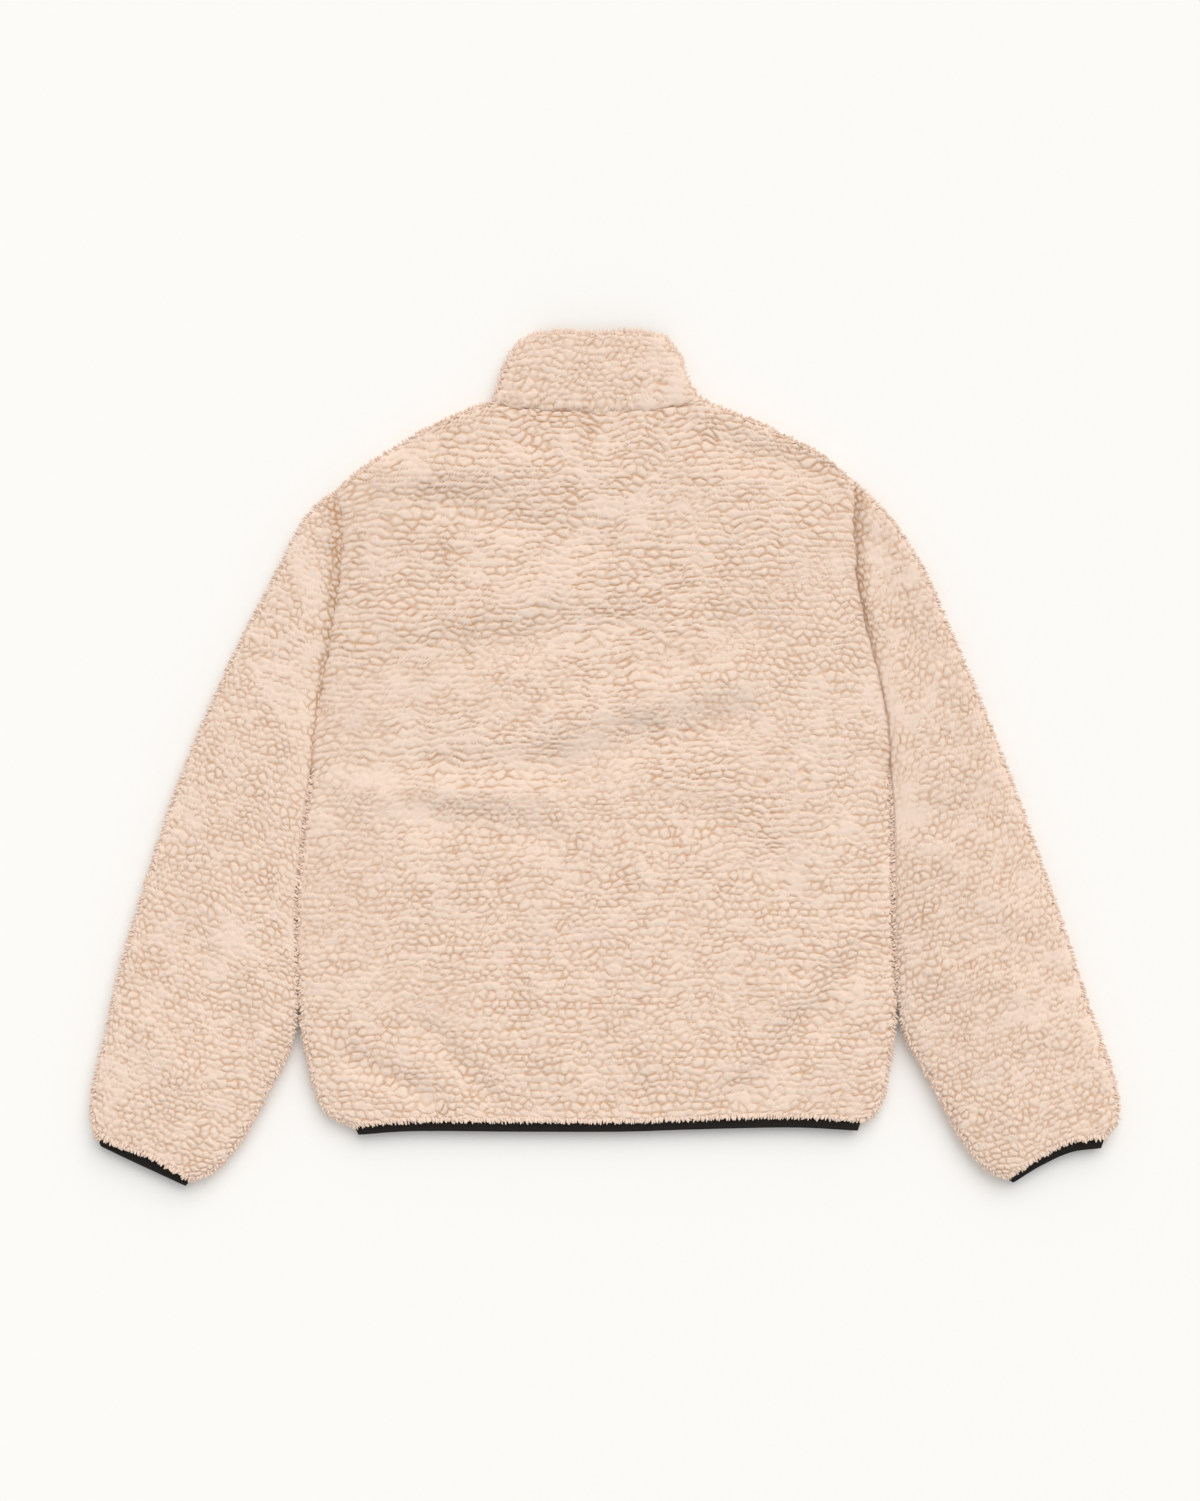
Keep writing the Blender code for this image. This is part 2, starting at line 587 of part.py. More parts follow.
def make_hem_binding(collection):
    """Elastic binding along the hem, open at the zip."""
    shift = (0, -NECK_GAP)
    left_end, right_end = [HEM[0], HEM_EDGE[0]], [HEM[-1], HEM_EDGE[-1]]
    seam_y, edge_y = smooth_line(HEM, 0.5)[1], smooth_line(HEM_EDGE, 0.5)[1]
    rows = band_rows()
    ends = BAND_END_STEPS
    u, v = grid(steps(HEM_WIDTH, ends, 14, ends), rows)
    whole = (line(left_end, shift), line(right_end, shift), line(HEM, shift), line(HEM_EDGE, shift))
    layers = [band_leaf(whole, u, v, True)]
    for x, at_left in ((LEFT_EDGE_X, True), (RIGHT_EDGE_X, False)):
        zip_end = [(x, seam_y), (x, edge_y)]
        pieces = []
        for points, y in ((HEM, seam_y), (HEM_EDGE, edge_y)):
            kept = [p for p in points if (p[0] < x) == at_left]
            pieces.append(line(kept + [(x, y)] if at_left else [(x, y)] + kept, shift))
        sides = (line(left_end, shift), line(zip_end, shift)) if at_left else (
            line(zip_end, shift), line(right_end, shift))
        first, last = (ends, (0,)) if at_left else ((0,), ends)
        u, v = grid(steps(HEM_WIDTH / 2, first, 6, last), rows)
        keeps = [AT_FOLD, 1, 1, AT_BAND_EDGE] if at_left else [1, AT_FOLD, 1, AT_BAND_EDGE]
        insets = (BAND_ROLL * 2, 0, 0, 0) if at_left else (0, BAND_ROLL * 2, 0, 0)
        layers.append(leaf(
            (*sides, *pieces), u, v, FOLD_Z, BAND_BOTTOM, keeps, BAND_REACHES, insets,
            BAND_HOLLOW, roll=BAND_ROLL,
        ))
    outer, inner = (band(*faces) for faces in zip(*layers))
    wall("hem_binding", outer, inner, ELASTIC, collection)


def make_collar(collection):
    """The stand collar: its back half on top, its two front ends below, and a fold at each side."""
    shift = (0, NECK_GAP)
    rows = steps(COLLAR_HEIGHT, SEAM_STEPS, 1, (0, 2.5, 8.0))
    left, right = line(COLLAR_LEFT, shift), line(COLLAR_RIGHT, shift)
    whole = (left, right, line(BACK_NECK, shift), line(COLLAR_BACK_EDGE, shift))
    widths = span(left(rows), right(rows))
    u, v = grid(steps(widths, FOLD_STEPS, 7, FOLD_STEPS), rows)
    reaches = (FOLD_REACH, FOLD_REACH, SEAM_REACH, 10.0)
    layers = [leaf(
        whole, u, v, FOLD_Z, COLLAR_TOP_Z, (AT_FOLD, AT_FOLD, AT_NECK, AT_COLLAR_EDGE), reaches,
        (WALL_AT_FOLD, WALL_AT_FOLD, 0, 0),
    )]
    zip_left, zip_right = (
        line([(x, FRONT_NECK_Y), (x, FRONT_COLLAR_Y)], shift) for x in (LEFT_EDGE_X, RIGHT_EDGE_X)
    )
    for lines, parts, keeps, insets in (
        (
            (left, zip_left, line(LEFT_FRONT_NECK, shift), line(COLLAR_LEFT_EDGE, shift)),
            NECK_PARTS, (AT_FOLD, AT_FRONT_EDGE, UNDER_SEAM, UNDER_SEAM), (WALL_AT_FOLD, 0, 0, 0),
        ),
        (
            (zip_right, right, line(RIGHT_FRONT_NECK, shift), line(COLLAR_RIGHT_EDGE, shift)),
            1 - NECK_PARTS[::-1], (AT_FRONT_EDGE, AT_FOLD, UNDER_SEAM, UNDER_SEAM), (0, WALL_AT_FOLD, 0, 0),
        ),
    ):
        u, v = grid(parts, rows)
        layers.append(leaf(lines, u, v, FOLD_Z, 0.0, keeps, reaches, insets, tape=True))
    outer, inner = (band(*faces) for faces in zip(*layers))
    wall("collar", outer, inner, FLEECE, collection)


def block(name, low, high, finish, collection, bevel=0.0):
    """A box between two corners, with its edges rounded by bevel."""
    low, high = np.array(low) * MM, np.array(high) * MM
    shell = bmesh.new()
    bmesh.ops.create_cube(shell, size=1)
    for vertex in shell.verts:
        vertex.co = (low + high) / 2 + np.array(vertex.co) * (high - low)
    mesh = bpy.data.meshes.new(name)
    shell.to_mesh(mesh)
    shell.free()
    made = add_object(name, mesh, finish, collection)
    if bevel:
        rounded = made.modifiers.new("rounded", "BEVEL")
        rounded.width = bevel * MM
        rounded.segments = 2
    return made


def join(made, other, cutters):
    """Joins the other object to this one, and keeps it as a guide that isn't shown."""
    union = made.modifiers.new(f"join_{other.name}", "BOOLEAN")
    union.operation = "UNION"
    union.object = other
    for owner in other.users_collection:
        owner.objects.unlink(other)
    cutters.objects.link(other)
    other.hide_render = True
    other.display_type = "WIRE"


def prism(name, outline, axis, low, high, finish, collection, place=(0, 0, 0)):
    """A flat outline carried along an axis, 1 for y or 2 for z, from low to high. Placed on a point."""
    outline = np.array(outline, float)
    points = []
    for level in (low, high):
        points.append(np.insert(outline, axis, level, axis=1))
    points = np.vstack(points) * MM
    count = len(outline)
    around = [(i, (i + 1) % count, (i + 1) % count + count, i + count) for i in range(count)]
    mesh = bpy.data.meshes.new(name)
    mesh.from_pydata(points.tolist(), [], [range(count), range(count, 2 * count), *around])
    made = add_object(name, mesh, finish, collection)
    made.location = np.array(place) * MM
    return made


def make_zip(collection, cutters):
    """Tapes, closed teeth, retaining box, slider and pull. The slider is closed at the collar's top."""
    hem_y = smooth_line(HEM, 0.5)[1]
    top_y = FRONT_COLLAR_Y - 2
    slider_low = top_y - SLIDER_LENGTH
    for side, away in (("left", -1), ("right", 1)):
        near, far = sorted((ZIP_X + away * TAPE_IN, ZIP_X + away * TAPE_OUT))
        block(f"zip_tape_{side}", (near, hem_y + 3, TAPE_Z[0]), (far, top_y, TAPE_Z[1]), TAPE, collection)
    box_low = hem_y - 8
    block(
        "zip_box", (ZIP_X - BOX_HALF, box_low, BOX_Z[0]), (ZIP_X + BOX_HALF, box_low + BOX_LENGTH, BOX_Z[1]),
        MOULDED, collection, 0.6,
    )
    block(
        "zip_chain", (ZIP_X - TEETH_HALF, box_low + BOX_LENGTH + GAP, TEETH_Z[0]),
        (ZIP_X + TEETH_HALF, slider_low - GAP, TEETH_Z[1]), MOULDED, collection,
    )

    plate_low, plate_high, back_low, back_high = SLIDER_PLATES
    right_half = [
        (SLIDER_HALF, plate_low), (SLIDER_HALF, plate_high), (SLIDER_WEB_HALF, plate_high),
        (SLIDER_WEB_HALF, back_low), (SLIDER_HALF, back_low), (SLIDER_HALF, back_high),
    ]
    outline = right_half + [(-x, z) for x, z in right_half[::-1]]
    outline = [(ZIP_X + x, z) for x, z in outline]
    slider = prism("zip_slider", outline, 1, slider_low, top_y, PAINTED_METAL, collection)
    axis_y = top_y - SLIDER_LENGTH / 2
    for side, away in (("left", -1), ("right", 1)):
        near, far = sorted((ZIP_X + away * EAR_X[0], ZIP_X + away * EAR_X[1]))
        ear = block(
            f"ear_{side}", (near, axis_y - EAR_HALF, EAR_LOW), (far, axis_y + EAR_HALF, plate_low + 0.5),
            PAINTED_METAL, collection,
        )
        join(slider, ear, cutters)

    corner = 1.2
    half = [
        (PULL_NECK_HALF, 0), (PULL_NECK_HALF, -PULL_NECK + corner), (PULL_HALF, -PULL_NECK),
        (PULL_HALF, -PULL_LENGTH + corner), (PULL_HALF - corner, -PULL_LENGTH),
    ]
    outline = half + [(-x, y) for x, y in half[::-1]]
    place = (ZIP_X, axis_y, PULL_AXIS_Z)
    pull = prism("zip_pull", outline, 2, -PULL_THICKNESS, 0, PAINTED_METAL, collection, place)
    round_pin = [
        (PULL_PIN_RADIUS * np.cos(angle), PULL_PIN_RADIUS * np.sin(angle))
        for angle in np.linspace(0, 2 * np.pi, 12, endpoint=False)
    ]
    pin = prism("pull_pin", round_pin, 0, -PULL_PIN_HALF, PULL_PIN_HALF, PAINTED_METAL, collection, place)
    join(pull, pin, cutters)


def make_jacket():
    for made in list(bpy.data.objects):
        bpy.data.objects.remove(made)
    collection = bpy.data.collections.new("reversible_fleece_jacket")
    cutters = bpy.data.collections.new("joined_shapes")
    for group in (collection, cutters):
        bpy.context.scene.collection.children.link(group)
    make_back(collection)
    make_fronts(collection)
    for side, cut in SLEEVES.items():
        make_sleeve(side, cut, collection)
        make_cuff_binding(side, cut, collection)
    make_collar(collection)
    make_hem_binding(collection)
    make_zip(collection, cutters)


make_jacket()
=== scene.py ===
"""Looks of a reversible pile fleece jacket, laid flat with its back up and zipped.

Sizes are millimetres until a mesh is made: x to the right, y towards the collar, z up from the
surface that it lies on. The cloth is a shell on the lines of the cut. On it lies the pile, a sheet
of curls in knitted courses, and locks stand out of it along the outline and over the bindings. Left
and right are the wearer's, and the wearer's left is at -x.
"""

import bpy
import numpy as np
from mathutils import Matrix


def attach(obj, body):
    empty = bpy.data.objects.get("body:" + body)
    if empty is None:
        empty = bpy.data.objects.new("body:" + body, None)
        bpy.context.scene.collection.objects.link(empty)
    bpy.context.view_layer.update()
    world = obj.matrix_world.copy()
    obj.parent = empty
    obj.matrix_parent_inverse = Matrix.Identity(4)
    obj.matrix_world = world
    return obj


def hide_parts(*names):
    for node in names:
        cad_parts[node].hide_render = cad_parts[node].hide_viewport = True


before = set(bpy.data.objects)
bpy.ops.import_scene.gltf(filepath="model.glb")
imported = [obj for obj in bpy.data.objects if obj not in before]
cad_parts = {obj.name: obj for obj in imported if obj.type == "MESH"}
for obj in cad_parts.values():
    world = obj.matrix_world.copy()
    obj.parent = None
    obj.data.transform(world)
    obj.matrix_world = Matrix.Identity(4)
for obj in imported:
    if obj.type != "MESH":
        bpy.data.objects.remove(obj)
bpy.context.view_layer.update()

MM = 0.001  # metres in a millimetre

# Layers
GAP = 0.3  # between pieces that lie on each other
SEAM_GAP = 0.4  # between pieces that are sewn edge to edge
NECK_GAP = 0.8  # the same at the neck and the hem
FOLD_Z = 10.3  # height of the side, shoulder and sleeve folds
BODY_TOP, SLEEVE_TOP, COLLAR_TOP_Z = 20.8, 24.0, 22.5
HOLLOW = 1.6  # half of the space between two layers
WALL_AT_FOLD = 7.0
FOLD_REACH, SEAM_REACH, COLLAR_EDGE_REACH = 16.0, 13.0, 10.0
CROWN_SHARE, CROWN_REACH = 0.24, 75.0
UNDERARM_REACH = 22.0
FOLD_LIMIT = 6.5  # most that folds raise or lower a face where they meet
AT_FOLD, AT_ARMHOLE, AT_NECK, AT_HEM, AT_CUFF, AT_COLLAR_EDGE = 0.0, 0.42, 0.5, 0.5, 0.45, 0.42
AT_FRONT_EDGE = UNDER_SEAM = 0.75
ARMHOLE_LENGTH, SHOULDER_SPAN = 272.0, 490.0
BACK_NECK_FROM, BACK_NECK_TO, FRONT_NECK_FROM = 0.30, 0.706, 0.6  # as parts of the top line
UNDERARM_V = 0.55  # part of a body side that lies below the underarm

# Elastic binding
BAND_TOP, BAND_BOTTOM, BAND_HOLLOW, BAND_ROLL, AT_BAND_EDGE = 15.0, 5.6, 0.3, 2.2, 0.58
BAND_REACHES = (6.0, 6.0, 1.0, BAND_ROLL)
STITCH_PART, STITCH_PITCH = 0.34, 3.2  # how far towards the folded edge, and between stitches
# A lockstitch's sections, each as its place along the stitch, its radius and its height
STITCH = ((-1.35, 0.14, -0.25), (-0.95, 0.27, 0.05), (0.95, 0.27, 0.05), (1.35, 0.14, -0.25))

# Zip
ZIP_X, ZIP_HALF = -2.4, 6.0
TAPE_IN, TAPE_OUT = 2.4, 14.0
TAPE_SEAT, TAPE_SEAT_WIDTH = 6.7, 11.5
ZIP_Z = 7.5  # middle of the tapes and the teeth
TAPE_WAVE, TAPE_RIPPLE = 0.08, 9.0  # how far the tapes wave, and the run of a wave over 2 pi
# A tape's sections, each as its place across from the zip's middle and its half thickness
TAPE_SECTIONS = (
    (TAPE_IN, 0.30), (2.6, 0.60), (3.0, 0.78), (3.5, 0.70), (3.9, 0.42), (6.0, 0.36), (10.0, 0.36),
    (TAPE_OUT, 0.30),
)
TEETH_PITCH = 2.5
TEETH_X, TEETH_END = 2.55, 0.9  # from the zip's middle to their roots, from the row's end to the first
# A tooth's sections, each as its place across from its root, its half length and its half thickness
TOOTH = (
    (-0.3, 0.48, 1.05), (0.1, 0.62, 1.3), (1.5, 0.62, 1.3), (2.0, 0.40, 1.1), (2.5, 0.60, 1.15),
    (3.0, 0.40, 0.9),
)
BOX_HALF, BOX_Z, BOX_LENGTH = 3.4, (5.7, 9.3), 9.0
ZIP_DOWN, BOX_DOWN, TAPE_UP = 2.0, 8.0, 3.0  # zip from the collar's edge, box and tapes from the hem seam
SLIDER_HALF, SLIDER_LENGTH = 4.2, 12.0
SLIDER_PLATES = (4.4, 5.9, 9.1, 10.3)  # outer plate's faces, then inner plate's
LUG_X, FLANGE_X = 2.5, 3.45  # from the zip's middle
LUG_Z, FLANGE_HIGH = 2.8, 0.7  # middle of the lugs, and how far the flanges stand out of their plates
PULL_AXIS_Z, PULL_THICKNESS = 1.5, 1.2
PIN_RADIUS, PIN_HALF = 0.8, 1.7
# Half of the pull's outline, from its middle line and its pin
PULL_HALF = (
    (1.3, 1.0), (1.5, -0.6), (1.4, -3.4), (2.6, -4.8), (3.5, -6.4), (3.5, -19.6), (3.1, -21.1),
    (1.9, -22.0),
)

# Pile
FELT_DEPTH = 1.9  # from the solid's surface down to the cloth below the pile
DEEPEST = 1.15  # from the solid's surface down to the deepest crevice
CLOTH = 1.2  # thickness that the cloth keeps there
CURL_HIGH = 0.6  # from the solid's surface up to the curls' tops
CREVICE = 2.5  # how deep the crevices between curls are
SEAM_PRESSED, NECK_PRESSED = 2.8, 0.5  # how much lower it lies where a seam draws it under its neighbour
SEAM_LIFTED = 1.2  # how much higher it lies where it laps over its neighbour
SEAM_NEAR = 15.0  # how far in from a seam it does either
PARTED_AND_SHADED_NEAR = 32.0  # how far in from a seam under its neighbour it parts towards its roots, and is painted darker there for the shade in the hollow
UPRIGHT_NEAR = 12.0  # how far in from an open edge it stands straight up
EDGE_ROLL = 3.5  # how far in from an edge it comes down to its end
EDGE_DOWN, LAP_DOWN, EVEN_DOWN = -0.6, -1.4, -0.5  # its height at an open edge, at a lap and where even
ASLANT = 0.88  # where rows and columns run this much the same way, as a cosine, it is even
LAP, LOWER_LAP = 4.0, 1.8  # how far it laps over a piece of fleece, and the same underneath
BINDING_LAP, BINDING_ROOT = 0.2, 1.6  # how far it laps over a binding, and how far in its locks start
FINE_STEP, COARSE_STEP = 1.5, 3.8  # between the pile's points, where it shows and where it lies on the floor
# Curls, each as its length along the courses, its width and how sharply it parts from the next
LONG_CURL, SHORT_CURL, ROUND_CURL = (12.0, 6.2, 1.0), (8.8, 6.8, 0.85), (8.2, 6.4, 0.82)
FLAT_CURL = (14.0, 11.0, 0.9)
SHAKE_ALONG, SHAKE_ACROSS = 0.34, 0.30  # how far curls are shaken, in shares of their size
CREVICE_WIDTH, SHALLOWEST = 0.26, 0.06  # in shares of a curl's size and of the deepest crevice
STRAND = (4.6, 3.4, 1.0)  # strands that the curls part into
LOCK_ROOT = 2.4  # from the solid's surface down to the root of a lock along an edge
LOCK_HALF, LOCK_TALL, LOCK_SIDES = 1.1, 5.9, 5
LOCK_LEAN, LOCK_SWAY = 2.2, 0.9  # how far its tip hangs over the way the pile lies, and aside
LOCK_RINGS = ((1.0, 0.1), (1.0, 0.5), (0.7, 0.86))  # radius and height of each, with the tip at 0, 1
LOCK_GAP = 0.775  # between locks along an edge
LOCKS_WITHIN, FOLD_LOCKS_WITHIN = 4.5, 3.0  # how far in from an edge and from a fold locks stand
FOLD_PUFF = 0.9  # how much further the pile stands out beside a fold
# Waves of soft noise in the pile, each as its amount, its size and its step from the seed
BRUSHED_WAVES = ((0.6, 58, 6), (0.6, 17, 7))
ALONG_WAVES = ((3.6, 27, 0), (1.8, 11, 1), (1.1, 4.4, 11))
ACROSS_WAVES = ((4.4, 31, 2), (1.8, 12, 3), (0.9, 4.8, 12))
RAGGED_WAVES = ((1.3, 7.5, 3), (0.5, 4.0, 4))

# Points where lines of the cut meet
LEFT_UNDERARM, RIGHT_UNDERARM = (-278, -11), (271, -11)
LEFT_SHOULDER_TIP, RIGHT_SHOULDER_TIP = (-253, 256), (236, 264)
LEFT_NECK_POINT, RIGHT_NECK_POINT = (-107, 339), (92, 341)
LEFT_HEM_END, RIGHT_HEM_END = (-238, -349), (244, -344)
LEFT_COLLAR_TIP, RIGHT_COLLAR_TIP = (-67, 402), (59, 399)
FRONT_NECK_Y, FRONT_COLLAR_Y = 292.0, 358.0  # at the zip
LEFT_EDGE_X, RIGHT_EDGE_X = ZIP_X - ZIP_HALF, ZIP_X + ZIP_HALF

# Lines of the cut as it lies, each a smooth line through its points
LEFT_SIDE = [
    LEFT_HEM_END, (-255, -343), (-268, -330), (-277, -305), (-285, -272), (-290, -229),
    (-292, -182), (-292, -134), (-288, -96), (-284, -54), LEFT_UNDERARM,
]
RIGHT_SIDE = [
    RIGHT_HEM_END, (257, -337), (265, -320), (270, -296), (275, -263), (277, -229),
    (275, -182), (273, -134), (273, -87), (273, -49), RIGHT_UNDERARM,
]
LEFT_ARMHOLE = [
    LEFT_UNDERARM, (-273, 27), (-266, 70), (-258, 113), (-251, 155), (-247, 193), (-247, 227),
    LEFT_SHOULDER_TIP,
]
RIGHT_ARMHOLE = [
    RIGHT_UNDERARM, (268, 30), (262, 65), (254, 98), (245, 132), (238, 165), (235, 198),
    (234, 231), RIGHT_SHOULDER_TIP,
]
LEFT_SHOULDER = [LEFT_SHOULDER_TIP, (-232, 274), (-203, 293), (-171, 312), (-138, 328), LEFT_NECK_POINT]
RIGHT_SHOULDER = [RIGHT_NECK_POINT, (117, 331), (140, 322), (179, 303), (209, 287), RIGHT_SHOULDER_TIP]
BACK_NECK = [LEFT_NECK_POINT, (-57, 333), (-4, 332), (45, 334), RIGHT_NECK_POINT]
LEFT_FRONT_NECK = [LEFT_NECK_POINT, (-94, 317), (-71, 301), (-40, 294), (LEFT_EDGE_X, FRONT_NECK_Y)]
RIGHT_FRONT_NECK = [(RIGHT_EDGE_X, FRONT_NECK_Y), (32, 294), (60, 302), (80, 318), RIGHT_NECK_POINT]
HEM = [LEFT_HEM_END, (-180, -344), (-80, -344), (15, -344), (81, -342), (176, -340), RIGHT_HEM_END]
HEM_EDGE = [(-234, -357), (-180, -353.5), (-80, -354), (15, -354), (81, -352), (176, -350), (241, -353)]
COLLAR_LEFT = [LEFT_NECK_POINT, (-100, 355), (-95, 371), (-89, 384), (-80, 395), LEFT_COLLAR_TIP]
COLLAR_RIGHT = [RIGHT_NECK_POINT, (83, 352), (76, 368), (70, 384), RIGHT_COLLAR_TIP]
COLLAR_BACK_EDGE = [LEFT_COLLAR_TIP, (-40, 405), (-10, 403), (24, 406), RIGHT_COLLAR_TIP]
COLLAR_LEFT_EDGE = [LEFT_COLLAR_TIP, (-50, 384), (-30, 369), (LEFT_EDGE_X, FRONT_COLLAR_Y)]
COLLAR_RIGHT_EDGE = [(RIGHT_EDGE_X, FRONT_COLLAR_Y), (24, 367), (43, 381), RIGHT_COLLAR_TIP]

# Sleeves, each with its outer fold, inner fold, cuff seam and cuff's folded edge
SLEEVES = {
    "left": {
        "away": -1,
        "armhole": LEFT_ARMHOLE,
        "outer": [
            LEFT_SHOULDER_TIP, (-284, 227), (-314, 170), (-353, 94), (-387, 18), (-416, -58),
            (-440, -134), (-460, -201), (-473, -260), (-484, -305), (-487, -336), (-482, -360),
        ],
        "inner": [
            LEFT_UNDERARM, (-284.6, -54), (-289, -96), (-293, -136), (-293.2, -182), (-292, -225),
            (-295, -258), (-304, -288), (-318, -313), (-333, -343), (-353, -373), (-373, -393),
            (-393, -401),
        ],
        "cuff": [(-482, -360), (-455, -370), (-425, -382), (-393, -401)],
        "cuff_edge": [(-479, -368), (-454, -380), (-426, -393), (-398, -406)],
    },
    "right": {
        "away": 1,
        "armhole": RIGHT_ARMHOLE,
        "outer": [
            RIGHT_SHOULDER_TIP, (269, 230), (299, 186), (326, 126), (359, 48), (388, -26),
            (413, -96), (437, -165), (457, -228), (475, -277), (486, -317), (487, -343), (475, -361),
        ],
        "inner": [
            RIGHT_UNDERARM, (273.6, -49), (274.4, -92), (274.6, -139), (276.2, -182), (279, -225),
            (285, -261), (301, -292), (318, -323), (334, -353), (349, -375), (364, -391),
            (382, -399),
        ],
        "cuff": [(475, -361), (442, -364), (412, -379), (382, -399)],
        "cuff_edge": [(472, -370), (443, -374), (414, -387), (388, -403)],
    },
}

SLEEVE_TURNS = {"left": np.radians(-19), "right": np.radians(20)}  # the courses' angle to x

FRONTS = ("front_left_cloth", "front_right_cloth")

# Large folds: from x, y to x, y, half width, height (a trough's is negative)
BACK_FOLDS = [
    (-166, -8, -42, -8, 17, -4.2),
    (-42, -8, 34, 16, 17, -4.5),
    (34, 16, 129, 38, 17, -5.1),
    (-42, 36, 34, 58, 20, 3.8),
    (34, 58, 138, 76, 20, 4.2),
    (-166, -56, -61, -73, 18, -4.8),
    (-240, -32, -60, -33, 16, 3.2),
    (-194, 127, -42, 160, 18, 3.8),
    (-128, 100, 34, 128, 18, -3.8),
    (115, 120, 145, 124, 18, -3.8),
    (-205, 268, -71, 276, 16, 3.5),
    (-166, 242, -4, 208, 20, -3.8),
    (91, 305, 195, 272, 17, -4.2),
    (85, -58, 110, -60, 18, -2.9),
    (167, -92, 176, -138, 18, -2.9),
    (252, -178, 205, -248, 16, -4.8),
    (205, -248, 138, -318, 16, -4.8),
    (228, -168, 176, -226, 15, 3.8),
    (176, -226, 125, -290, 15, 3.8),
    (-242, -284, -168, -322, 13, -4.5),
    (-166, -260, -110, -322, 13, -4.2),
    (-9, -182, -8, -318, 15, -2.9),
    (-57, -110, -55, -280, 17, 2.6),
    (43, -110, 45, -280, 17, 2.6),
    (34, -308, 36, -325, 10, -2.9),
]
SLEEVE_FOLDS = {
    "left": [
        (-268, 190, -286, 60, 15, -3.2),
        (-330, 60, -372, -70, 20, 2.9),
        (-390, -170, -352, -250, 18, -2.6),
        (-440, -250, -400, -300, 18, 2.6),
        (-330, -200, -318, -260, 16, 2.2),
    ],
    "right": [
        (262, 200, 282, 120, 17, -4.2),
        (300, 100, 330, 20, 22, -3.2),
        (300, -60, 356, -44, 18, -2.9),
        (330, -100, 392, -150, 20, 2.6),
        (318, -205, 400, -222, 18, 2.9),
        (350, -290, 430, -250, 18, 2.2),
        (380, -330, 400, -370, 14, 1.9),
    ],
}


# ---------------------------------------------------------------- lines and layers of the cut


def smooth_line(points, parts):
    """The points at these parts, 0 to 1, of the length of a Catmull-Rom line through the points."""
    points = np.array(points, float)
    ends = np.vstack([2 * points[0] - points[1], points, 2 * points[-1] - points[-2]])
    t = np.linspace(0, 1, 16, endpoint=False)[:, None]
    runs = [
        0.5 * (2 * b + (c - a) * t + (2 * a - 5 * b + 4 * c - d) * t**2 + (3 * b - a - 3 * c + d) * t**3)
        for a, b, c, d in zip(ends, ends[1:], ends[2:], ends[3:])
    ]
    whole = np.vstack([*runs, points[-1:]])
    length = np.concatenate([[0], np.cumsum(np.hypot(*np.diff(whole, axis=0).T))])
    wanted = np.asarray(parts) * length[-1]
    return np.stack([np.interp(wanted, length, whole[:, axis]) for axis in (0, 1)], -1)


def line(points, shift=(0, 0)):
    """A line of the cut as a function of the part of its length, moved by shift."""
    return lambda parts: smooth_line(points, parts) + np.array(shift)


def joined(lines, turns):
    """One line of several, which takes up the next one at each turn, a part of its length."""
    starts, ends = (0, *turns), (*turns, 1)

    def whole(parts):
        parts = np.asarray(parts, float)
        made = smooth_line(lines[0], np.clip(parts / ends[0], 0, 1))
        for points, start, end in list(zip(lines, starts, ends))[1:]:
            later = smooth_line(points, np.clip((parts - start) / (end - start), 0, 1))
            made = np.where((parts < start)[..., None], made, later)
        return made

    return whole


def rise(distance, reach):
    """From 0 at an edge to 1 at its reach and beyond, as a quarter of an ellipse."""
    return np.sqrt(1 - (1 - np.clip(distance / reach, 0, 1)) ** 2)


def ease(distance, reach):
    """From 0 to 1 over the reach, level at both ends."""
    t = np.clip(distance / reach, 0, 1)
    return t * t * (3 - 2 * t)


def span(one, other):
    """Straight distance between points of the plan."""
    return np.hypot(*np.moveaxis(other - one, -1, 0))


def relief(points, folds):
    """Height of the folds: each is a soft ridge or trough on a straight run that fades at its ends.

    Where folds meet, their sum is held softly within the limit, so the cloth keeps its thickness.
    """
    height = np.zeros(points.shape[:-1])
    for x0, y0, x1, y1, width, amount in folds:
        run = np.array([x1 - x0, y1 - y0], float)
        length = np.hypot(*run)
        along = (points - (x0, y0)) @ run / length
        aside = (points - (x0, y0)) @ (-run[1], run[0]) / length
        past = np.maximum(np.maximum(-along, along - length), 0)
        height += amount * np.exp(-((aside / width) ** 2) - (past / width) ** 2)
    return height / (1 + (height / FOLD_LIMIT) ** 4) ** 0.25


def wander(x, y, size, seed):
    """Soft noise from -1 to 1: random values at the corners of squares of this size, eased between."""
    corners = np.random.default_rng(seed).uniform(-1, 1, (64, 64))
    x, y = np.asarray(x) / size + 17, np.asarray(y) / size + 29
    column, row = np.floor(x).astype(int), np.floor(y).astype(int)
    a, b = ease(x - column, 1), ease(y - row, 1)
    low = corners[row % 64, column % 64] * (1 - a) + corners[row % 64, (column + 1) % 64] * a
    high = corners[(row + 1) % 64, column % 64] * (1 - a) + corners[(row + 1) % 64, (column + 1) % 64] * a
    return low * (1 - b) + high * b


def wanders(x, y, seed, waves):
    """Sum of soft noises, for each wave its amount times the noise of its size."""
    return sum(amount * wander(x, y, size, seed + step) for amount, size, step in waves)


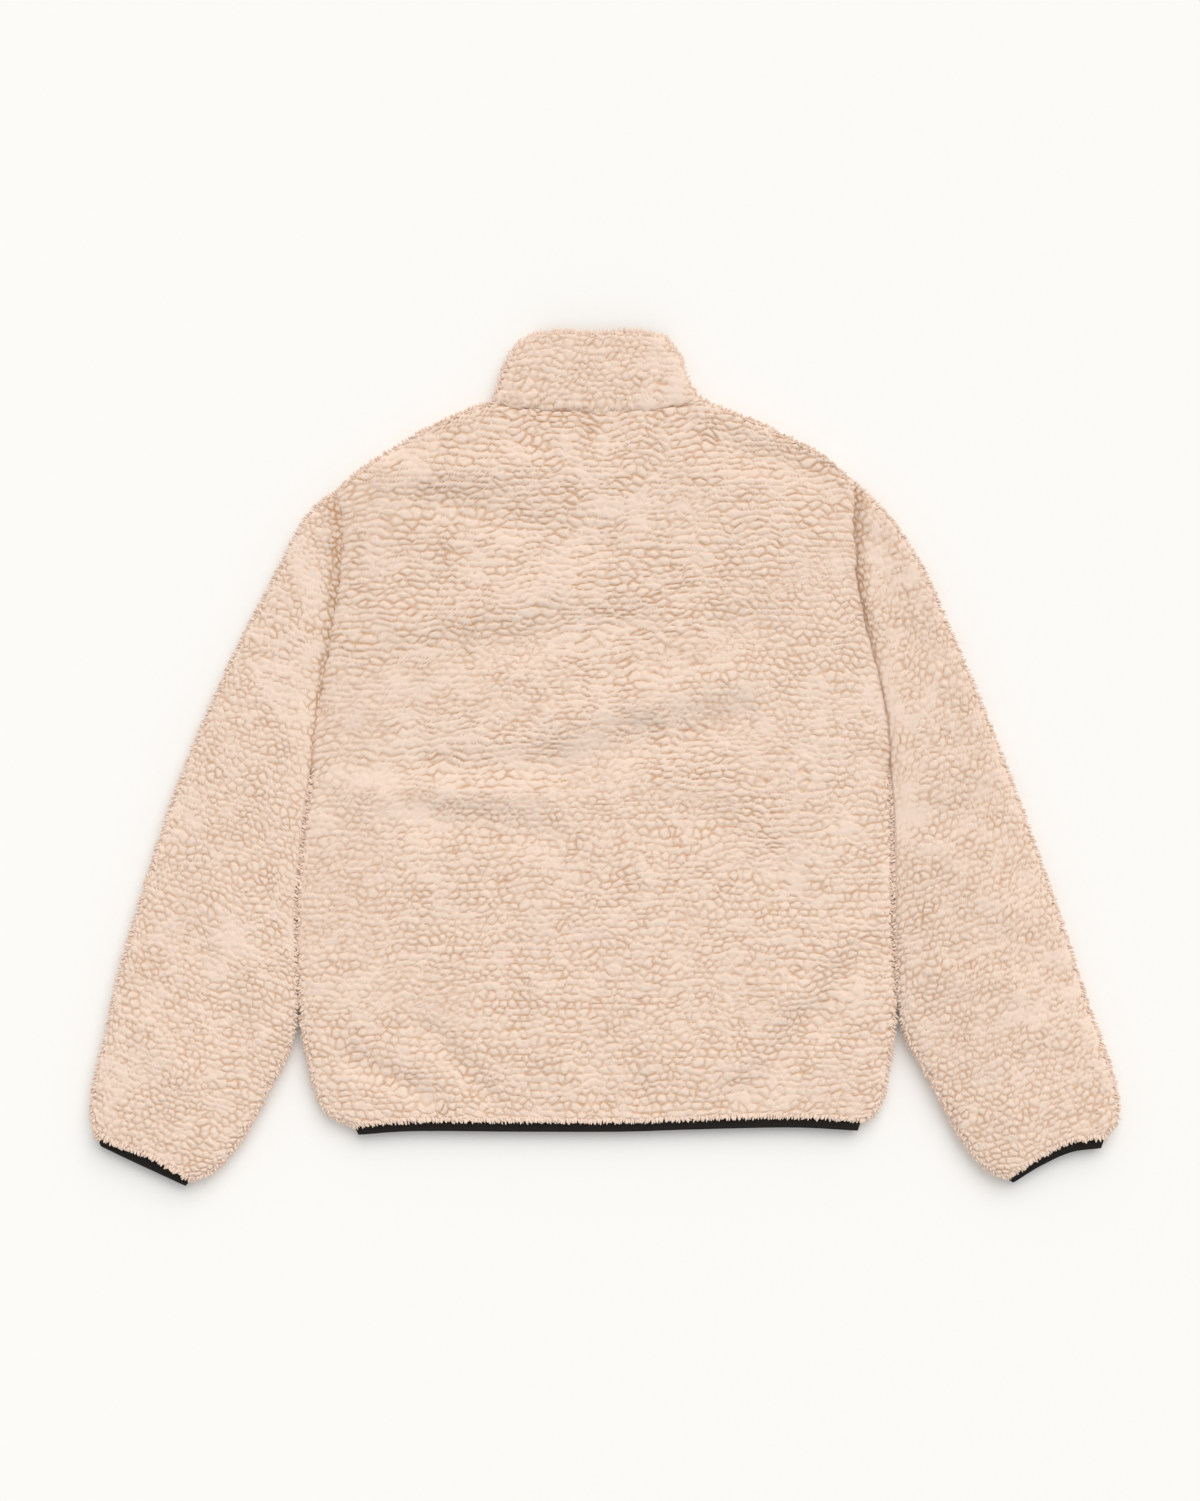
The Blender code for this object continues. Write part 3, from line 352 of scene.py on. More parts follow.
class Layer:
    """One layer of a piece of cloth as it lies, between its left, right, bottom and top line.

    u runs from left to right and v from bottom to top, each 0 to 1. The plan is the patch blended
    between the four lines. The outer face lies at full and comes down to seat round the edges: keeps
    gives the share of the height kept at each edge, and reaches how far its roll goes. The inner
    face is insets in from the edges, hollow away from the seat. Keeps and insets are numbers, or
    functions of u and v. With tape, the inner face leaves room for a zip tape. With roll, both faces
    close on each other at the top line. over gives how far the pile laps over its neighbour at
    numbered edges, and under how much lower it lies at those where it is drawn under it.
    """

    def __init__(self, lines, seat, full, keeps, reaches, insets=(0, 0, 0, 0), hollow=HOLLOW, folds=(),
                 tape=False, roll=0.0, over=None, under=None):
        self.lines, self.seat, self.full, self.keeps, self.reaches = lines, seat, full, keeps, reaches
        self.insets, self.hollow, self.folds, self.tape, self.roll = insets, hollow, folds, tape, roll
        self.over, self.under = over or {}, under or {}
        self.side = np.sign(full - seat)  # 1 on an upper layer, -1 on a lower one

    def sizes(self, u, v):
        """Width and height of the plan through u, v, straight between opposite lines."""
        left, right, bottom, top = self.lines
        return span(left(v), right(v)), span(bottom(u), top(u))

    def plan(self, u, v):
        """The sides blended by u, plus the bottom and top blended by v, less the corners' blend."""
        left, right, bottom, top = self.lines
        a, b = np.asarray(u)[..., None], np.asarray(v)[..., None]
        zero, one = np.float64(0), np.float64(1)
        sides = (1 - a) * left(v) + a * right(v) + (1 - b) * bottom(u) + b * top(u)
        low = (1 - a) * left(zero) + a * right(zero)
        high = (1 - a) * left(one) + a * right(one)
        return sides - (1 - b) * low - b * high

    def shares(self, u, v):
        """The share of the height, of the hollow and of the crown, which the four edges keep at u, v."""
        width, height = self.sizes(u, v)
        distances = (u * width, (1 - u) * width, v * height, (1 - v) * height)
        share = inside = crown = 1.0
        for distance, keep, reach in zip(distances, self.keeps, self.reaches):
            keep = keep(u, v) if callable(keep) else keep
            share = share * (keep + (1 - keep) * rise(distance, reach))
            open_edge = np.clip(keep / AT_ARMHOLE, 0, 1) * 0.6
            inside = inside * (open_edge + (1 - open_edge) * ease(distance, 2 * FOLD_REACH))
            crown = crown * ease(distance + FOLD_REACH * open_edge, CROWN_REACH)
        return share, inside, crown, distances

    def edges(self, u, v):
        """For each edge: how open it is at u, v, from 0 at a fold to 1 at a seam, and how far off it is."""
        width, height = self.sizes(u, v)
        distances = (u * width, (1 - u) * width, v * height, (1 - v) * height)
        keeps = [keep(u, v) if callable(keep) else np.full(np.shape(u), keep) for keep in self.keeps]
        return [(np.clip(keep / AT_ARMHOLE, 0, 1), distance) for keep, distance in zip(keeps, distances)]

    def near(self, u, v, reach, numbers=(0, 1, 2, 3)):
        """How near the open edges of these numbers are: 1 at one, and 0 beyond the reach."""
        edges = self.edges(u, v)
        found = [edges[number][0] * (1 - ease(edges[number][1], reach)) for number in numbers]
        return np.max([np.zeros(np.shape(u)), *found], axis=0)

    def drawn(self, u, v, reach):
        """How much lower the pile lies within reach of the edges where it is drawn under its neighbours."""
        found = [depth * self.near(u, v, reach, (number,)) for number, depth in self.under.items()]
        return np.max([np.zeros(np.shape(u)), *found], axis=0)

    def lifted(self, u, v, lift):
        """Points of the outer face moved by lift, straight out or, along open edges, straight up."""
        points, _, _, out = self.stance(u, v)
        upright = self.near(u, v, UPRIGHT_NEAR)[..., None]
        points = points + unit(out * (1 - upright) + upright * (0, 0, self.side)) * lift[..., None]
        lower = self.drawn(u, v, SEAM_NEAR) - SEAM_LIFTED * self.near(u, v, SEAM_NEAR, self.over)
        points[..., 2] -= self.side * lower
        return points

    def outer(self, u, v):
        """Points of the outer face."""
        share, _, crown, _ = self.shares(u, v)
        level = self.full - self.seat
        if level > 0:
            level = level * (1 - CROWN_SHARE + CROWN_SHARE * crown)
        plan = self.plan(u, v)
        z = self.seat + level * share + relief(plan, self.folds) * share
        return np.concatenate([plan, z[..., None]], -1)

    def inner(self, u, v):
        """Points of the inner face."""
        _, inside, _, distances = self.shares(u, v)
        width, height = self.sizes(u, v)
        insets = [inset(u, v) if callable(inset) else inset for inset in self.insets]
        u_in = (insets[0] + u * (width - insets[0] - insets[1])) / width
        v_in = (insets[2] + v * (height - insets[2] - insets[3])) / height
        plan = self.plan(u_in, v_in)
        z = self.seat + self.side * self.hollow * inside
        if self.tape:
            sewn = 1 - ease(np.abs(plan[..., 0] - ZIP_X) - ZIP_HALF - TAPE_SEAT_WIDTH, 10)
            z = z + (TAPE_SEAT - z) * sewn
        if self.roll:
            closing = 1 - rise(distances[3], self.roll)
            z = z + self.side * closing * (self.roll - 2 * self.hollow)
        return np.concatenate([plan, z[..., None]], -1)

    def stance(self, u, v):
        """At u, v: the outer face's point, the directions of u and v along it, and its way out."""
        step = 1e-3
        along_u = self.outer(np.minimum(u + step, 1), v) - self.outer(np.maximum(u - step, 0), v)
        along_v = self.outer(u, np.minimum(v + step, 1)) - self.outer(u, np.maximum(v - step, 0))
        out = unit(np.cross(along_u, along_v))
        middle = np.array([0.5])
        a = self.outer(middle + step, middle) - self.outer(middle - step, middle)
        b = self.outer(middle, middle + step) - self.outer(middle, middle - step)
        turn = np.sign(np.cross(a, b)[0, 2]) * self.side
        return self.outer(u, v), unit(along_u), unit(along_v), out * turn


def unit(vectors):
    """Vectors over their own lengths."""
    return vectors / np.maximum(np.linalg.norm(vectors, axis=-1, keepdims=True), 1e-9)


def side_keep(v):
    """Share of the height kept at a body edge: none on the side fold, and some along the armhole."""
    above = (v - UNDERARM_V) / (1 - UNDERARM_V) * ARMHOLE_LENGTH
    return AT_ARMHOLE * rise(above, UNDERARM_REACH) * rise(ARMHOLE_LENGTH - above, FOLD_REACH)


def top_keep(inside, keep):
    """Share of the height kept at the top edge, some way inside the neck: none on the shoulder folds."""
    return keep * rise(np.maximum(inside, 0), FOLD_REACH)


def back_layer():
    """The whole back, with folds at its sides and shoulders and seams at its other edges."""
    first, last = BACK_NECK_FROM, BACK_NECK_TO

    def neck(u, v):
        return top_keep(np.minimum(u - first, last - u) * SHOULDER_SPAN, AT_NECK)

    def side(u, v):
        return side_keep(v)

    def side_inset(u, v):
        return WALL_AT_FOLD * (1 - side_keep(v) / AT_ARMHOLE)

    def top_inset(u, v):
        return WALL_AT_FOLD * (1 - neck(u, v) / AT_NECK)

    lines = (
        joined([LEFT_SIDE, LEFT_ARMHOLE], [UNDERARM_V]),
        joined([RIGHT_SIDE, RIGHT_ARMHOLE], [UNDERARM_V]),
        line(HEM),
        joined([LEFT_SHOULDER, BACK_NECK, RIGHT_SHOULDER], [first, last]),
    )
    return Layer(
        lines, FOLD_Z + GAP / 2, BODY_TOP, (side, side, AT_HEM, neck),
        (FOLD_REACH, FOLD_REACH, SEAM_REACH, SEAM_REACH), (side_inset, side_inset, 0, top_inset),
        folds=BACK_FOLDS, over={0: LAP, 1: LAP, 2: BINDING_LAP}, under={3: NECK_PRESSED},
    )


def front_layer(at_left):
    """A front, from its side fold to the zip."""
    hem_y = smooth_line(HEM, 0.5)[1]
    edge_x = LEFT_EDGE_X if at_left else RIGHT_EDGE_X

    def from_side(u):
        return u if at_left else 1 - u

    def neck(u, v):
        return top_keep((from_side(u) - FRONT_NECK_FROM) * SHOULDER_SPAN / 2, UNDER_SEAM)

    def side(u, v):
        return side_keep(v) / AT_ARMHOLE * UNDER_SEAM

    def side_inset(u, v):
        return WALL_AT_FOLD * (1 - side_keep(v) / AT_ARMHOLE)

    def top_inset(u, v):
        return WALL_AT_FOLD * (1 - neck(u, v) / UNDER_SEAM)

    zip_edge = line([(edge_x, hem_y), (edge_x, FRONT_NECK_Y)])
    if at_left:
        lines = (
            joined([LEFT_SIDE, LEFT_ARMHOLE], [UNDERARM_V]),
            zip_edge,
            line([p for p in HEM if p[0] < edge_x] + [(edge_x, hem_y)]),
            joined([LEFT_SHOULDER, LEFT_FRONT_NECK], [FRONT_NECK_FROM]),
        )
        keeps, insets = (side, AT_FRONT_EDGE, UNDER_SEAM, neck), (side_inset, 0, 0, top_inset)
        over = {0: LOWER_LAP, 3: LOWER_LAP}
    else:
        lines = (
            zip_edge,
            joined([RIGHT_SIDE, RIGHT_ARMHOLE], [UNDERARM_V]),
            line([(edge_x, hem_y)] + [p for p in HEM if p[0] > edge_x]),
            joined([RIGHT_FRONT_NECK, RIGHT_SHOULDER], [1 - FRONT_NECK_FROM]),
        )
        keeps, insets = (AT_FRONT_EDGE, side, UNDER_SEAM, neck), (0, side_inset, 0, top_inset)
        over = {1: LOWER_LAP, 3: LOWER_LAP}
    return Layer(
        lines, FOLD_Z - GAP / 2, 0.0, keeps, (FOLD_REACH, FOLD_REACH, SEAM_REACH, SEAM_REACH), insets,
        tape=True, over=over,
    )


def sleeve_layers(side):
    """The upper and the lower layer of a sleeve. v runs from the armhole to the cuff."""
    cut = SLEEVES[side]
    shift = (cut["away"] * SEAM_GAP, 0)
    lines = (
        line(cut["outer"], shift),
        line(cut["inner"], shift),
        line(cut["armhole"][::-1], shift),
        line(cut["cuff"], shift),
    )
    reaches = (FOLD_REACH, FOLD_REACH, SEAM_REACH, SEAM_REACH)
    insets = (WALL_AT_FOLD, WALL_AT_FOLD, 0, 0)
    return (
        Layer(lines, FOLD_Z, SLEEVE_TOP, (AT_FOLD, AT_FOLD, AT_ARMHOLE, AT_CUFF), reaches, insets,
              folds=SLEEVE_FOLDS[side], over={3: BINDING_LAP}, under={2: SEAM_PRESSED}),
        Layer(lines, FOLD_Z, 0.0, (AT_FOLD, AT_FOLD, UNDER_SEAM, UNDER_SEAM), reaches, insets),
    )


def collar_layers():
    """The collar's back half, its left front end and its right front end."""
    shift = (0, NECK_GAP)
    left, right = line(COLLAR_LEFT, shift), line(COLLAR_RIGHT, shift)
    zip_left, zip_right = (
        line([(x, FRONT_NECK_Y), (x, FRONT_COLLAR_Y)], shift) for x in (LEFT_EDGE_X, RIGHT_EDGE_X)
    )
    reaches = (FOLD_REACH, FOLD_REACH, SEAM_REACH, COLLAR_EDGE_REACH)
    return (
        Layer((left, right, line(BACK_NECK, shift), line(COLLAR_BACK_EDGE, shift)), FOLD_Z, COLLAR_TOP_Z,
              (AT_FOLD, AT_FOLD, AT_NECK, AT_COLLAR_EDGE), reaches, (WALL_AT_FOLD, WALL_AT_FOLD, 0, 0),
              over={2: LAP}),
        Layer((left, zip_left, line(LEFT_FRONT_NECK, shift), line(COLLAR_LEFT_EDGE, shift)), FOLD_Z, 0.0,
              (AT_FOLD, AT_FRONT_EDGE, UNDER_SEAM, UNDER_SEAM), reaches, (WALL_AT_FOLD, 0, 0, 0), tape=True),
        Layer((zip_right, right, line(RIGHT_FRONT_NECK, shift), line(COLLAR_RIGHT_EDGE, shift)), FOLD_Z,
              0.0, (AT_FRONT_EDGE, AT_FOLD, UNDER_SEAM, UNDER_SEAM), reaches, (0, WALL_AT_FOLD, 0, 0),
              tape=True),
    )


def band_layer(lines, upper, keeps=(AT_FOLD, AT_FOLD, 1, AT_BAND_EDGE), insets=(1, 1)):
    """One layer of an elastic binding, closed along its folded edge. Insets are 1 at a closed end."""
    ends = [end * BAND_ROLL * 2 for end in insets]
    return Layer(lines, FOLD_Z, BAND_TOP if upper else BAND_BOTTOM, keeps, BAND_REACHES, (*ends, 0, 0),
                 BAND_HOLLOW, roll=BAND_ROLL)


def cuff_layers(side):
    """The upper and the lower layer of a cuff's binding."""
    cut = SLEEVES[side]
    seam, edge = np.array(cut["cuff"], float), np.array(cut["cuff_edge"], float)
    down = edge.mean(0) - seam.mean(0)
    shift = down / np.hypot(*down) * SEAM_GAP + (cut["away"] * SEAM_GAP, 0)
    lines = (line([seam[0], edge[0]], shift), line([seam[-1], edge[-1]], shift), line(seam, shift),
             line(edge, shift))
    return band_layer(lines, True), band_layer(lines, False)


def hem_layers():
    """The hem binding's back half, its left front half and its right front half."""
    shift = (0, -NECK_GAP)
    left_end, right_end = (line([HEM[i], HEM_EDGE[i]], shift) for i in (0, -1))
    seam_y, edge_y = smooth_line(HEM, 0.5)[1], smooth_line(HEM_EDGE, 0.5)[1]
    layers = [band_layer((left_end, right_end, line(HEM, shift), line(HEM_EDGE, shift)), True)]
    for x, at_left in ((LEFT_EDGE_X, True), (RIGHT_EDGE_X, False)):
        zip_end = line([(x, seam_y), (x, edge_y)], shift)
        pieces = []
        for points, y in ((HEM, seam_y), (HEM_EDGE, edge_y)):
            kept = [p for p in points if (p[0] < x) == at_left]
            pieces.append(line(kept + [(x, y)] if at_left else [(x, y)] + kept, shift))
        sides = (left_end, zip_end) if at_left else (zip_end, right_end)
        ends = (AT_FOLD, 1) if at_left else (1, AT_FOLD)
        layers.append(
            band_layer((*sides, *pieces), False, (*ends, 1, AT_BAND_EDGE), (1, 0) if at_left else (0, 1))
        )
    return layers


# ---------------------------------------------------------------- meshes


def new_piece(name, points, quads, triangles=(), maps=None, values=None, normals=None):
    """A mesh object, shaded smooth.

    points are in millimetres, quads and triangles are rows of point numbers, maps is a place on the
    baked picture for each point, values are named numbers for each point, and normals its way out.
    """
    quads = np.asarray(quads, np.int32).reshape(-1, 4)
    triangles = np.asarray(triangles, np.int32).reshape(-1, 3)
    corners = np.concatenate([quads.ravel(), triangles.ravel()])
    starts = np.concatenate([np.arange(len(quads)) * 4, quads.size + np.arange(len(triangles)) * 3])
    mesh = bpy.data.meshes.new(name)
    mesh.vertices.add(len(points))
    mesh.vertices.foreach_set("co", (np.asarray(points) * MM).astype(np.float32).ravel())
    mesh.loops.add(len(corners))
    mesh.loops.foreach_set("vertex_index", corners)
    mesh.polygons.add(len(starts))
    mesh.polygons.foreach_set("loop_start", starts.astype(np.int32))
    mesh.update(calc_edges=True)
    if maps is not None:
        layer = mesh.uv_layers.new(name="OFBake")
        layer.uv.foreach_set("vector", maps[corners].astype(np.float32).ravel())
    for key, numbers in (values or {}).items():
        mesh.attributes.new(key, "FLOAT", "POINT").data.foreach_set("value", numbers.astype(np.float32))
    mesh.shade_smooth()
    if normals is not None:
        mesh.normals_split_custom_set_from_vertices(normals)
    made = bpy.data.objects.new(name, mesh)
    bpy.context.scene.collection.objects.link(made)
    return made


def crowded(count):
    """Parts from 0 to 1, closer together towards both ends."""
    return 0.5 - 0.5 * np.cos(np.linspace(0, np.pi, count))


def grid(layer, columns, rows, down):
    """The grids of points of a layer's outer face, set down by this depth, and of its inner face."""
    u, v = np.meshgrid(columns, rows)
    if not down:
        return layer.outer(u, v), layer.inner(u, v)
    outer, inner = layer.lifted(u, v, 0.25 * layer.drawn(u, v, 10.0) - down), layer.inner(u, v)
    outward = np.maximum(layer.side * layer.stance(u, v)[3][..., 2], 0)
    level = np.maximum(outward**4, layer.near(u, v, 8.0))
    room = layer.side * (outer[..., 2] - inner[..., 2])
    inner[..., 2] -= layer.side * np.maximum(CLOTH - room, 0) * level
    return outer, inner


def wall(name, outer, inner, tube=False):
    """A closed wall between two grids of points, with rims round its edges. A tube's columns close up."""
    rows, columns = outer.shape[:2]
    out = np.arange(rows * columns).reshape(rows, columns)
    if tube:
        out = np.hstack([out, out[:, :1]])
    into = out + rows * columns

    def quads(a, b, c, d):
        return np.stack([a, b, c, d], -1).reshape(-1, 4)

    faces = [
        quads(out[:-1, :-1], out[:-1, 1:], out[1:, 1:], out[1:, :-1]),
        quads(into[:-1, :-1], into[1:, :-1], into[1:, 1:], into[:-1, 1:]),
        quads(out[0, :-1], into[0, :-1], into[0, 1:], out[0, 1:]),
        quads(out[-1, :-1], out[-1, 1:], into[-1, 1:], into[-1, :-1]),
    ]
    if not tube:
        faces.append(quads(out[:-1, 0], out[1:, 0], into[1:, 0], into[:-1, 0]))
        faces.append(quads(out[:-1, -1], into[:-1, -1], into[1:, -1], out[1:, -1]))
    points = np.vstack([outer.reshape(-1, 3), inner.reshape(-1, 3)])
    faces = np.vstack(faces)
    if volume(points, faces) < 0:
        faces = faces[:, ::-1]
    return new_piece(name, points, faces)


def volume(points, quads):
    """Six times the volume inside a closed mesh of quads, negative where it is inside out."""
    a, b, c, d = (points[quads[:, i]] for i in range(4))
    return (np.cross(a, b) * c).sum() + (np.cross(a, c) * d).sum()


def ring(upper, lower):
    """A flattened tube's grid: the upper layer and, back from its last fold, the lower layer."""
    return np.hstack([upper, lower[:, -2:0:-1]])


def band(upper, lower_left, lower_right):
    """A flattened band's grid, from its left end under the left fold and over to its right end."""
    return np.hstack([lower_left[:, :0:-1], upper, lower_right[:, -2::-1]])


def even_grid(layer, step):
    """u and v on a grid about a step apart along the cloth.

    Rows are set out by their mean length along v. Along each row, u is read off its running length,
    for all rows at once: they are put end to end, further apart than the widest.
    """
    fine = crowded(240)
    u, v = np.meshgrid([0.25, 0.5, 0.75], fine)
    runs = np.linalg.norm(np.diff(layer.outer(u, v), axis=0), axis=-1).mean(1)
    height = np.concatenate([[0], np.cumsum(runs)])
    rows = np.interp(np.linspace(0, height[-1], round(height[-1] / step) + 1), height, fine)
    count = len(rows)
    u, v = np.meshgrid(fine, rows)
    runs = np.linalg.norm(np.diff(layer.outer(u, v), axis=1), axis=-1)
    width = np.concatenate([np.zeros((count, 1)), np.cumsum(runs, axis=1)], axis=1)
    parts = np.linspace(0, 1, round(width[:, -1].mean() / step) + 1)
    apart = np.arange(count)[:, None] * width.max() * 1.01
    far = parts * width[:, -1:] + apart
    u = np.interp(far.ravel(), (width + apart).ravel(), np.tile(fine, count)).reshape(far.shape)
    u[:, 0], u[:, -1] = 0, 1
    return u, np.broadcast_to(rows[:, None], u.shape)


def curls(along, across, size, brushed, seed):
    """Relief of curled pile at lengths along and across its courses: height, 0 to 1, and tone.

    Curls stand a size apart, shaken, and half a step on in every other course. Distances count in
    shares of that size, and a point belongs to the curl whose middle is nearest. A curl is a low
    crown that is higher on the side that the pile lies towards. It ends in a narrow crevice, where
    the second nearest middle is as near as the first. A crevice is deepest where it runs along the
    course, the more so with long curls, and shallow where either curl holds on to the other or the
    pile is brushed.
    """
    random = np.random.default_rng(seed).uniform(-1, 1, (4, 128, 128))
    a, b = along / size[0], across / size[1]
    found = []
    for row in (np.floor(b).astype(int) + step for step in (-1, 0, 1)):
        first = np.floor(a - 0.5 * (row % 2)).astype(int)
        for column in (first - 1, first, first + 1):
            shake_a, shake_b, tone, hold = random[:, row % 128, column % 128]
            x = a - 0.5 * (row % 2) - column - 0.5 - SHAKE_ALONG * shake_a
            y = b - row - 0.5 - SHAKE_ACROSS * shake_b
            found.append((np.hypot(x, y), x, y, tone, hold))
    found = np.stack([np.stack(one) for one in found])
    order = np.argsort(found[:, 0], axis=0)[:2]
    nearest, second = (
        np.take_along_axis(found, order[i][None, None], 0)[0] for i in (0, 1)
    )
    apart_x, apart_y = second[1] - nearest[1], second[2] - nearest[2]
    steep = np.abs(apart_y) / np.maximum(np.hypot(apart_x, apart_y), 1e-6)
    least = 0.72 - 0.32 * size[0] / size[1]
    depth = least + (0.80 - least) * steep**2 + 0.26 * (nearest[4] + second[4]) - 0.6 * brushed
    depth = np.clip(depth, SHALLOWEST, 1)
    crevice = size[2] * depth * np.exp(-(((second[0] - nearest[0]) / CREVICE_WIDTH) ** 2))
    crown = 0.34 * (1 - nearest[0] ** 2) + 0.22 * nearest[2] + 0.10 * nearest[3]
    return 0.66 + size[2] * crown * (1 - 0.5 * np.maximum(brushed, 0)) - crevice, crevice, nearest[3]


def pile_lift(layer, u, v, sizes, turn, seed):
    """How far the pile stands out of a layer's outer face at u, v, its crevices with their painted shade,
    and its tone with painted light and shade.

    Courses lie as on the flat cloth, at an angle of turn to x, and go on down the rolls at its
    edges. They wander, and in patches the pile was brushed. With two sizes of curl, the second takes
    over towards the hem. Curls part into strands, and near a seam that draws them under down to
    their roots, where they are painted darker for the shade in that hollow. At open edges the pile
    comes down to the cloth below. At folds it stands out a little further and is ragged, alike on
    both layers of a piece, and beside them it is painted lighter.
    """
    points, _, _, out = layer.stance(u, v)
    x, y = points[..., 0], points[..., 1]
    fallen = 0.8 * np.abs(layer.full - points[..., 2])[..., None]
    flat = points[..., :2] + out[..., :2] * fallen
    along = flat @ (np.cos(turn), np.sin(turn)) + wanders(x, y, seed, ALONG_WAVES)
    across = flat @ (-np.sin(turn), np.cos(turn)) + wanders(x, y, seed, ACROSS_WAVES)
    parted_and_shaded = layer.drawn(u, v, PARTED_AND_SHADED_NEAR) / SEAM_PRESSED
    brushed = np.clip(wanders(x, y, seed, BRUSHED_WAVES) - 0.45, -0.3, 0.35) - 0.9 * parted_and_shaded
    height, crevice, tone = curls(along, across, sizes[0], brushed, seed + 4)
    if len(sizes) == 2:
        other = curls(along, across, sizes[1], brushed, seed + 8)
        share = ease(0.5 - y / 300 + 0.9 * wander(x, y, 75, seed + 9), 1)
        height, crevice, tone = (
            one * (1 - share) + two * share for one, two in zip((height, crevice, tone), other)
        )
    strand_height, strand_crevice, _ = curls(along, across, STRAND, brushed, seed + 13)
    height = height + 0.30 * (strand_height - 0.8)
    # Painted shade beside a seam drawn under: crevices painted deeper tan and curls darker, for the shade in
    # the hollow there
    crevice = (0.9 * crevice + 0.2 * strand_crevice) * (1 + 0.4 * parted_and_shaded) + 0.15 * parted_and_shaded
    tone = tone - 5.0 * parted_and_shaded
    lift = CURL_HIGH + CREVICE * (height - 1) + 0.4 * wander(x, y, 19, seed + 5)
    ragged = wanders(x, y, 0, RAGGED_WAVES)
    for number, (open_share, distance) in enumerate(layer.edges(u, v)):
        tucked = 1.3 * wander(x, y, 6, seed + 14) + LAP_DOWN if number in layer.over else EDGE_DOWN
        end = ragged + (tucked - ragged) * open_share
        lift = end + (lift - end) * rise(distance, EDGE_ROLL)
        lift = lift + FOLD_PUFF * (1 - open_share) * np.exp(-(((distance - 4) / 3.5) ** 2))
        # Painted light: the pile is painted lighter within a few millimetres of a fold
        tone = tone + 2.0 * (1 - open_share) * np.exp(-((distance / 7) ** 2))
    return lift, crevice, tone


def piled(name, layer, sizes, step, turn=0.0, splits=(0, 1), seed=1):
    """The pile of a layer: a sheet of curls on its outer face, in one piece or split by its height.

    The sheet laps over its neighbours or is drawn under them, and is even in a corner where its rows
    and columns run almost the same way. The pieces keep the normals of the whole.
    """
    u, v = even_grid(layer, step)
    lift, crevice, tone = pile_lift(layer, u, v, sizes, turn, seed)
    plan = layer.plan(u, v)
    on_u, on_v = np.gradient(plan, axis=1), np.gradient(plan, axis=0)
    aslant = np.abs((unit(on_u) * unit(on_v)).sum(-1))
    lift = lift + ease(aslant - ASLANT, 0.1) * (EVEN_DOWN - lift)
    points = layer.lifted(u, v, np.maximum(lift, -DEEPEST))
    face, _, _, out = layer.stance(u, v)
    outwards = (-on_u, on_u, -on_v, on_v)
    for number, lap in layer.over.items():
        uneven = 1 + 0.6 * wander(face[..., 0], face[..., 1], 6.5, seed + 10)
        beyond = lap * uneven * layer.near(u, v, 8.0, (number,))
        points[..., :2] += unit(outwards[number]) * beyond[..., None]
    points[..., 2] = np.maximum(points[..., 2], 0)

    normals = unit(np.cross(np.gradient(points, axis=1), np.gradient(points, axis=0)))
    turned = np.sign((normals * out).sum())
    normals = normals * turned
    edges = [round(part * (len(points) - 1)) for part in splits]
    made = []
    for number, (low, high) in enumerate(zip(edges, edges[1:])):
        rows = slice(low, high + 1)
        shape = points[rows].shape[:2]
        spots = np.arange(shape[0] * shape[1]).reshape(shape)
        quads = np.stack([spots[:-1, :-1], spots[:-1, 1:], spots[1:, 1:], spots[1:, :-1]], -1)
        maps = np.stack(np.meshgrid(np.linspace(0, 1, shape[1]), np.linspace(0, 1, shape[0])), -1)
        made.append(new_piece(
            name if len(edges) == 2 else f"{name}_{number + 1}", points[rows].reshape(-1, 3),
            quads if turned > 0 else quads[..., ::-1], maps=maps.reshape(-1, 2),
            # the crevice value carries painted shade, and the tone painted light and shade
            values={"pile_crevice_painted_shade": crevice[rows].ravel(), "pile_tone_painted_light_and_shade": tone[rows].ravel()},
            normals=normals[rows].reshape(-1, 3),
        ))
    return made


def edge_places(layer, edge, rng, sewn=False, start=0.0, within=LOCKS_WITHIN):
    """Places along one edge of a layer, as u and v, from start to within further in from it.

    Where the edge is sewn to a neighbour there are none, unless sewn is set.
    """
    along = {"left": 0, "right": 1, "bottom": 2, "top": 3}[edge]
    length = np.linalg.norm(np.diff(layer.lines[along](np.linspace(0, 1, 100)), axis=0), axis=1).sum()
    count = int(length / LOCK_GAP)
    part = (np.arange(count) + rng.uniform(0, 1, count)) / count
    depth = start + rng.uniform(0, 1, count) ** 1.5 * within
    width, height = layer.sizes(part, part)
    u = {"left": depth / width, "right": 1 - depth / width}.get(edge, part)
    v = {"bottom": depth / height, "top": 1 - depth / height}.get(edge, part)
    kept = (layer.edges(u, v)[along][0] < 0.4) | sewn
    return u[kept], v[kept]


def lock_places(layer, rng, folds, end, start=0.0):
    """Places on a layer's folds and on the edge where its pile ends, from start further in."""
    places = [(layer, *edge_places(layer, fold, rng, within=FOLD_LOCKS_WITHIN)) for fold in folds]
    return [*places, (layer, *edge_places(layer, end, rng, sewn=True, start=start))]


